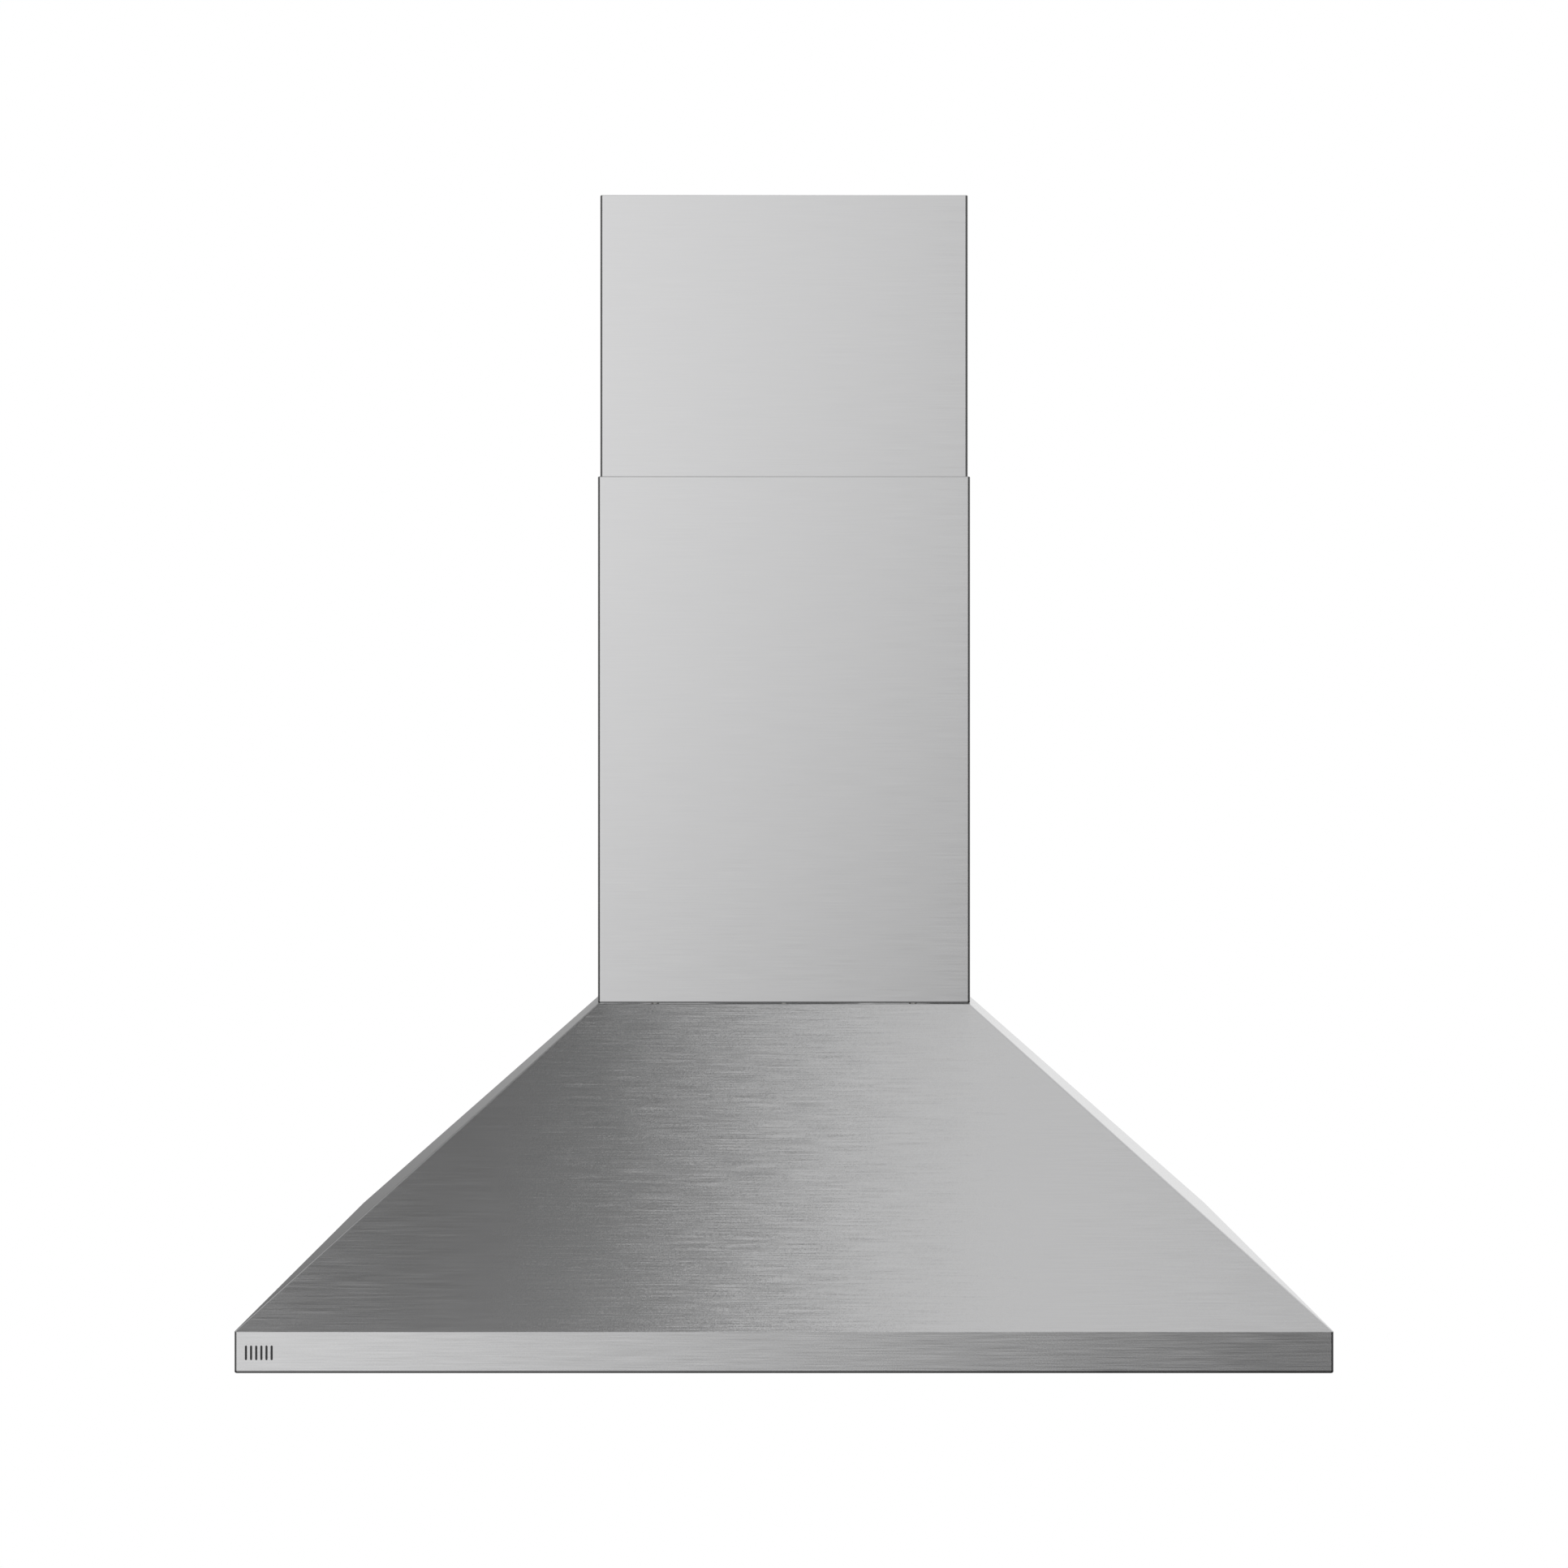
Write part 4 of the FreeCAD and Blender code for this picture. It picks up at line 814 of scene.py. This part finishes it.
def printedBoard(name, look):
    # copper tracks show through the lacquer, and the switches under the board are black
    material, add = startMaterial(name)
    x, y, z = splitPlace(add, objectPlace(add))
    tracks = add("ShaderNodeTexBrick", {
        "Vector": joinPlace(add, x, y, 0.0),
        "Color1": (*look["lacquer"], 1.0),
        "Color2": (*[part * look["lacquerShade"] for part in look["lacquer"]], 1.0),
        "Mortar": (*look["copper"], 1.0),
        "Scale": 1.0,
        "Mortar Size": look["trackWidth"] / 2.0,
        "Brick Width": look["trackLength"],
        "Row Height": look["trackRows"],
    })
    underside = highCorner("switch_board")[2] - look["thickness"] - look["slack"]
    board = above(add, z, underside)
    colour = add("ShaderNodeMix", {   # its inputs 6 and 7 are colours
        0: board, 6: (*look["switches"], 1.0), 7: tracks.outputs["Color"],
    }, data_type="RGBA").outputs[2]
    fine = noiseTone(add, objectPlace(add), look["grain"])
    principled(add, {
        "Base Color": colour,
        "Roughness": swing(add, fine, look["roughness"], look["roughnessSwing"]),
        "Normal": relief(add, times(add, board, tracks.outputs["Fac"]), look["trackDepth"]),
    })
    return material


dress(printedBoard("printedBoard", boardLook), "switch_board")

lensLook = {
    "colour": (0.90, 0.91, 0.90),
    "roughness": 0.34,
    "roughnessSwing": 0.05,
    "ringPitch": 0.0022,
    "ringDepth": 0.00006,
    "ringShade": 0.94,          # painted shade in the bottom of a ring
    "scatter": 0.15,
    "scatterReach": 0.004,
    "grain": 900.0,
}


def frostedLens(name, look):
    # a frosted lens with shallow ring prisms, and painted shade in the bottom of each ring
    material, add = startMaterial(name)
    turn = times(add, lengthOf(add, fromLamp(add)), 2.0 * math.pi / look["ringPitch"])
    rings = mathNode(add, "SINE", turn)
    frost = noiseTone(add, objectPlace(add), look["grain"])
    shade = ramp(add, rings, -1.0, 1.0, look["ringShade"], 1.0, "LINEAR")
    principled(add, {
        "Base Color": tinted(add, shade, look["colour"]),
        "Roughness": swing(add, frost, look["roughness"], look["roughnessSwing"]),
        "Subsurface Weight": look["scatter"],
        "Subsurface Radius": (look["scatterReach"],) * 3,
        "Normal": relief(add, ramp(add, rings, -1.0, 1.0, shape="LINEAR"), look["ringDepth"]),
    })
    return material


dress(frostedLens("frostedLens", lensLook), "lamp_left_lens", "lamp_right_lens")
print("stage: plastics, board and lenses")


# printed marks under the control bezel: speeds 0 to 3, and a lamp sign

markLook = {
    "digits": "0123",
    "height": 0.0056,           # of the text's line
    "forward": 0.0105,          # from the middle of a button towards the room
    "thickness": 0.00006,
    "lampRadius": 0.0010,
    "lampStroke": 0.00026,
    "rayStart": 0.0014,
    "rayEnd": 0.0020,
    "rays": 8,
    "rayCore": 0.001,           # the inner loop of a ray, as a share of its outline
    "ringSteps": 48,
    "curveSteps": 6,
    "mergeWithin": 0.000001,
}


def digitMesh(letter, look):
    # vertices and faces of one flat digit, its middle at the origin
    curve = bpy.data.curves.new("digit", "FONT")
    curve.body = letter
    curve.size = look["height"]
    curve.align_x = "CENTER"
    curve.align_y = "CENTER"
    curve.resolution_u = look["curveSteps"]
    curve.extrude = look["thickness"] / 2.0
    holder = bpy.data.objects.new("digit", curve)
    bpy.context.scene.collection.objects.link(holder)
    bpy.context.view_layer.update()
    mesh = bpy.data.meshes.new_from_object(holder.evaluated_get(bpy.context.evaluated_depsgraph_get()))
    bpy.data.objects.remove(holder)
    places = np.array([vertex.co[:] for vertex in mesh.vertices])
    faces = [list(face.vertices) for face in mesh.polygons]
    places[:, :2] -= (places[:, :2].max(axis=0) + places[:, :2].min(axis=0)) / 2.0
    return places, faces


def slabMesh(outline, inner, thickness):
    # a closed flat ring or bar between two loops of as many points: outer and inner below, inner and
    # outer above, and each loop joins the next one with a four sided face for every step
    count = len(outline)
    loops = np.concatenate([outline, inner, inner, outline])
    heights = np.repeat(np.array([-1.0, -1.0, 1.0, 1.0]) * thickness / 2.0, count)
    places = np.column_stack([loops, heights])
    steps = np.arange(count)
    after = (steps + 1) % count
    first = np.arange(4)[:, None] * count
    second = np.roll(first, -1, axis=0)
    faces = np.stack([first + steps, first + after, second + after, second + steps], axis=-1)
    return places, faces.reshape(-1, 4).tolist()


def lampSignMesh(look):
    # a small ring, its points at radius times cosine and sine of even turns, with short rays around it
    turns = np.linspace(0.0, 2.0 * math.pi, look["ringSteps"], endpoint=False)
    circle = np.column_stack([np.cos(turns), np.sin(turns)])
    innerRadius = look["lampRadius"] - look["lampStroke"]
    parts = [slabMesh(circle * look["lampRadius"], circle * innerRadius, look["thickness"])]
    for number in range(look["rays"]):
        turn = 2.0 * math.pi * number / look["rays"]
        out = np.array([math.cos(turn), math.sin(turn)])
        side = np.array([-out[1], out[0]]) * look["lampStroke"] / 2.0
        corners = np.array([
            out * look["rayStart"] - side, out * look["rayEnd"] - side,
            out * look["rayEnd"] + side, out * look["rayStart"] + side,
        ])
        middle = corners.mean(axis=0)
        core = middle + (corners - middle) * look["rayCore"]
        parts.append(slabMesh(corners, core, look["thickness"]))
    return joined(parts)


def joined(parts):
    # several meshes as one, the faces' numbers moved on by the points before them
    places, faces, start = [], [], 0
    for partPlaces, partFaces in parts:
        places.append(partPlaces)
        faces.extend([[index + start for index in face] for face in partFaces])
        start += len(partPlaces)
    return np.concatenate(places), faces


def makeMarks(look):
    # read from below and in front, so the top of each mark is towards the room
    faceHeight = lowCorner("control_bezel")[2]
    parts = []
    for number, middle in enumerate(buttonMiddles):
        if number < len(look["digits"]):
            places, faces = digitMesh(look["digits"][number], look)
        else:
            places, faces = lampSignMesh(look)
        placed = np.column_stack([
            middle[0] + places[:, 0],
            middle[1] - look["forward"] - places[:, 1],
            faceHeight - look["thickness"] / 2.0 - places[:, 2],
        ])
        parts.append((placed, faces))
    places, faces = joined(parts)
    mesh = bpy.data.meshes.new("controlMarks")
    mesh.from_pydata(places.tolist(), [], faces)
    work = bmesh.new()
    work.from_mesh(mesh)
    bmesh.ops.remove_doubles(work, verts=work.verts, dist=look["mergeWithin"])
    bmesh.ops.recalc_face_normals(work, faces=work.faces)
    work.to_mesh(mesh)
    work.free()
    piece = bpy.data.objects.new("controlMarks", mesh)
    bpy.context.scene.collection.objects.link(piece)
    mesh.materials.append(whitePlastic)
    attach(piece, "canopy")


makeMarks(markLook)
print("stage: control marks")


view = bpy.context.scene.view_settings
view.view_transform = "Standard"
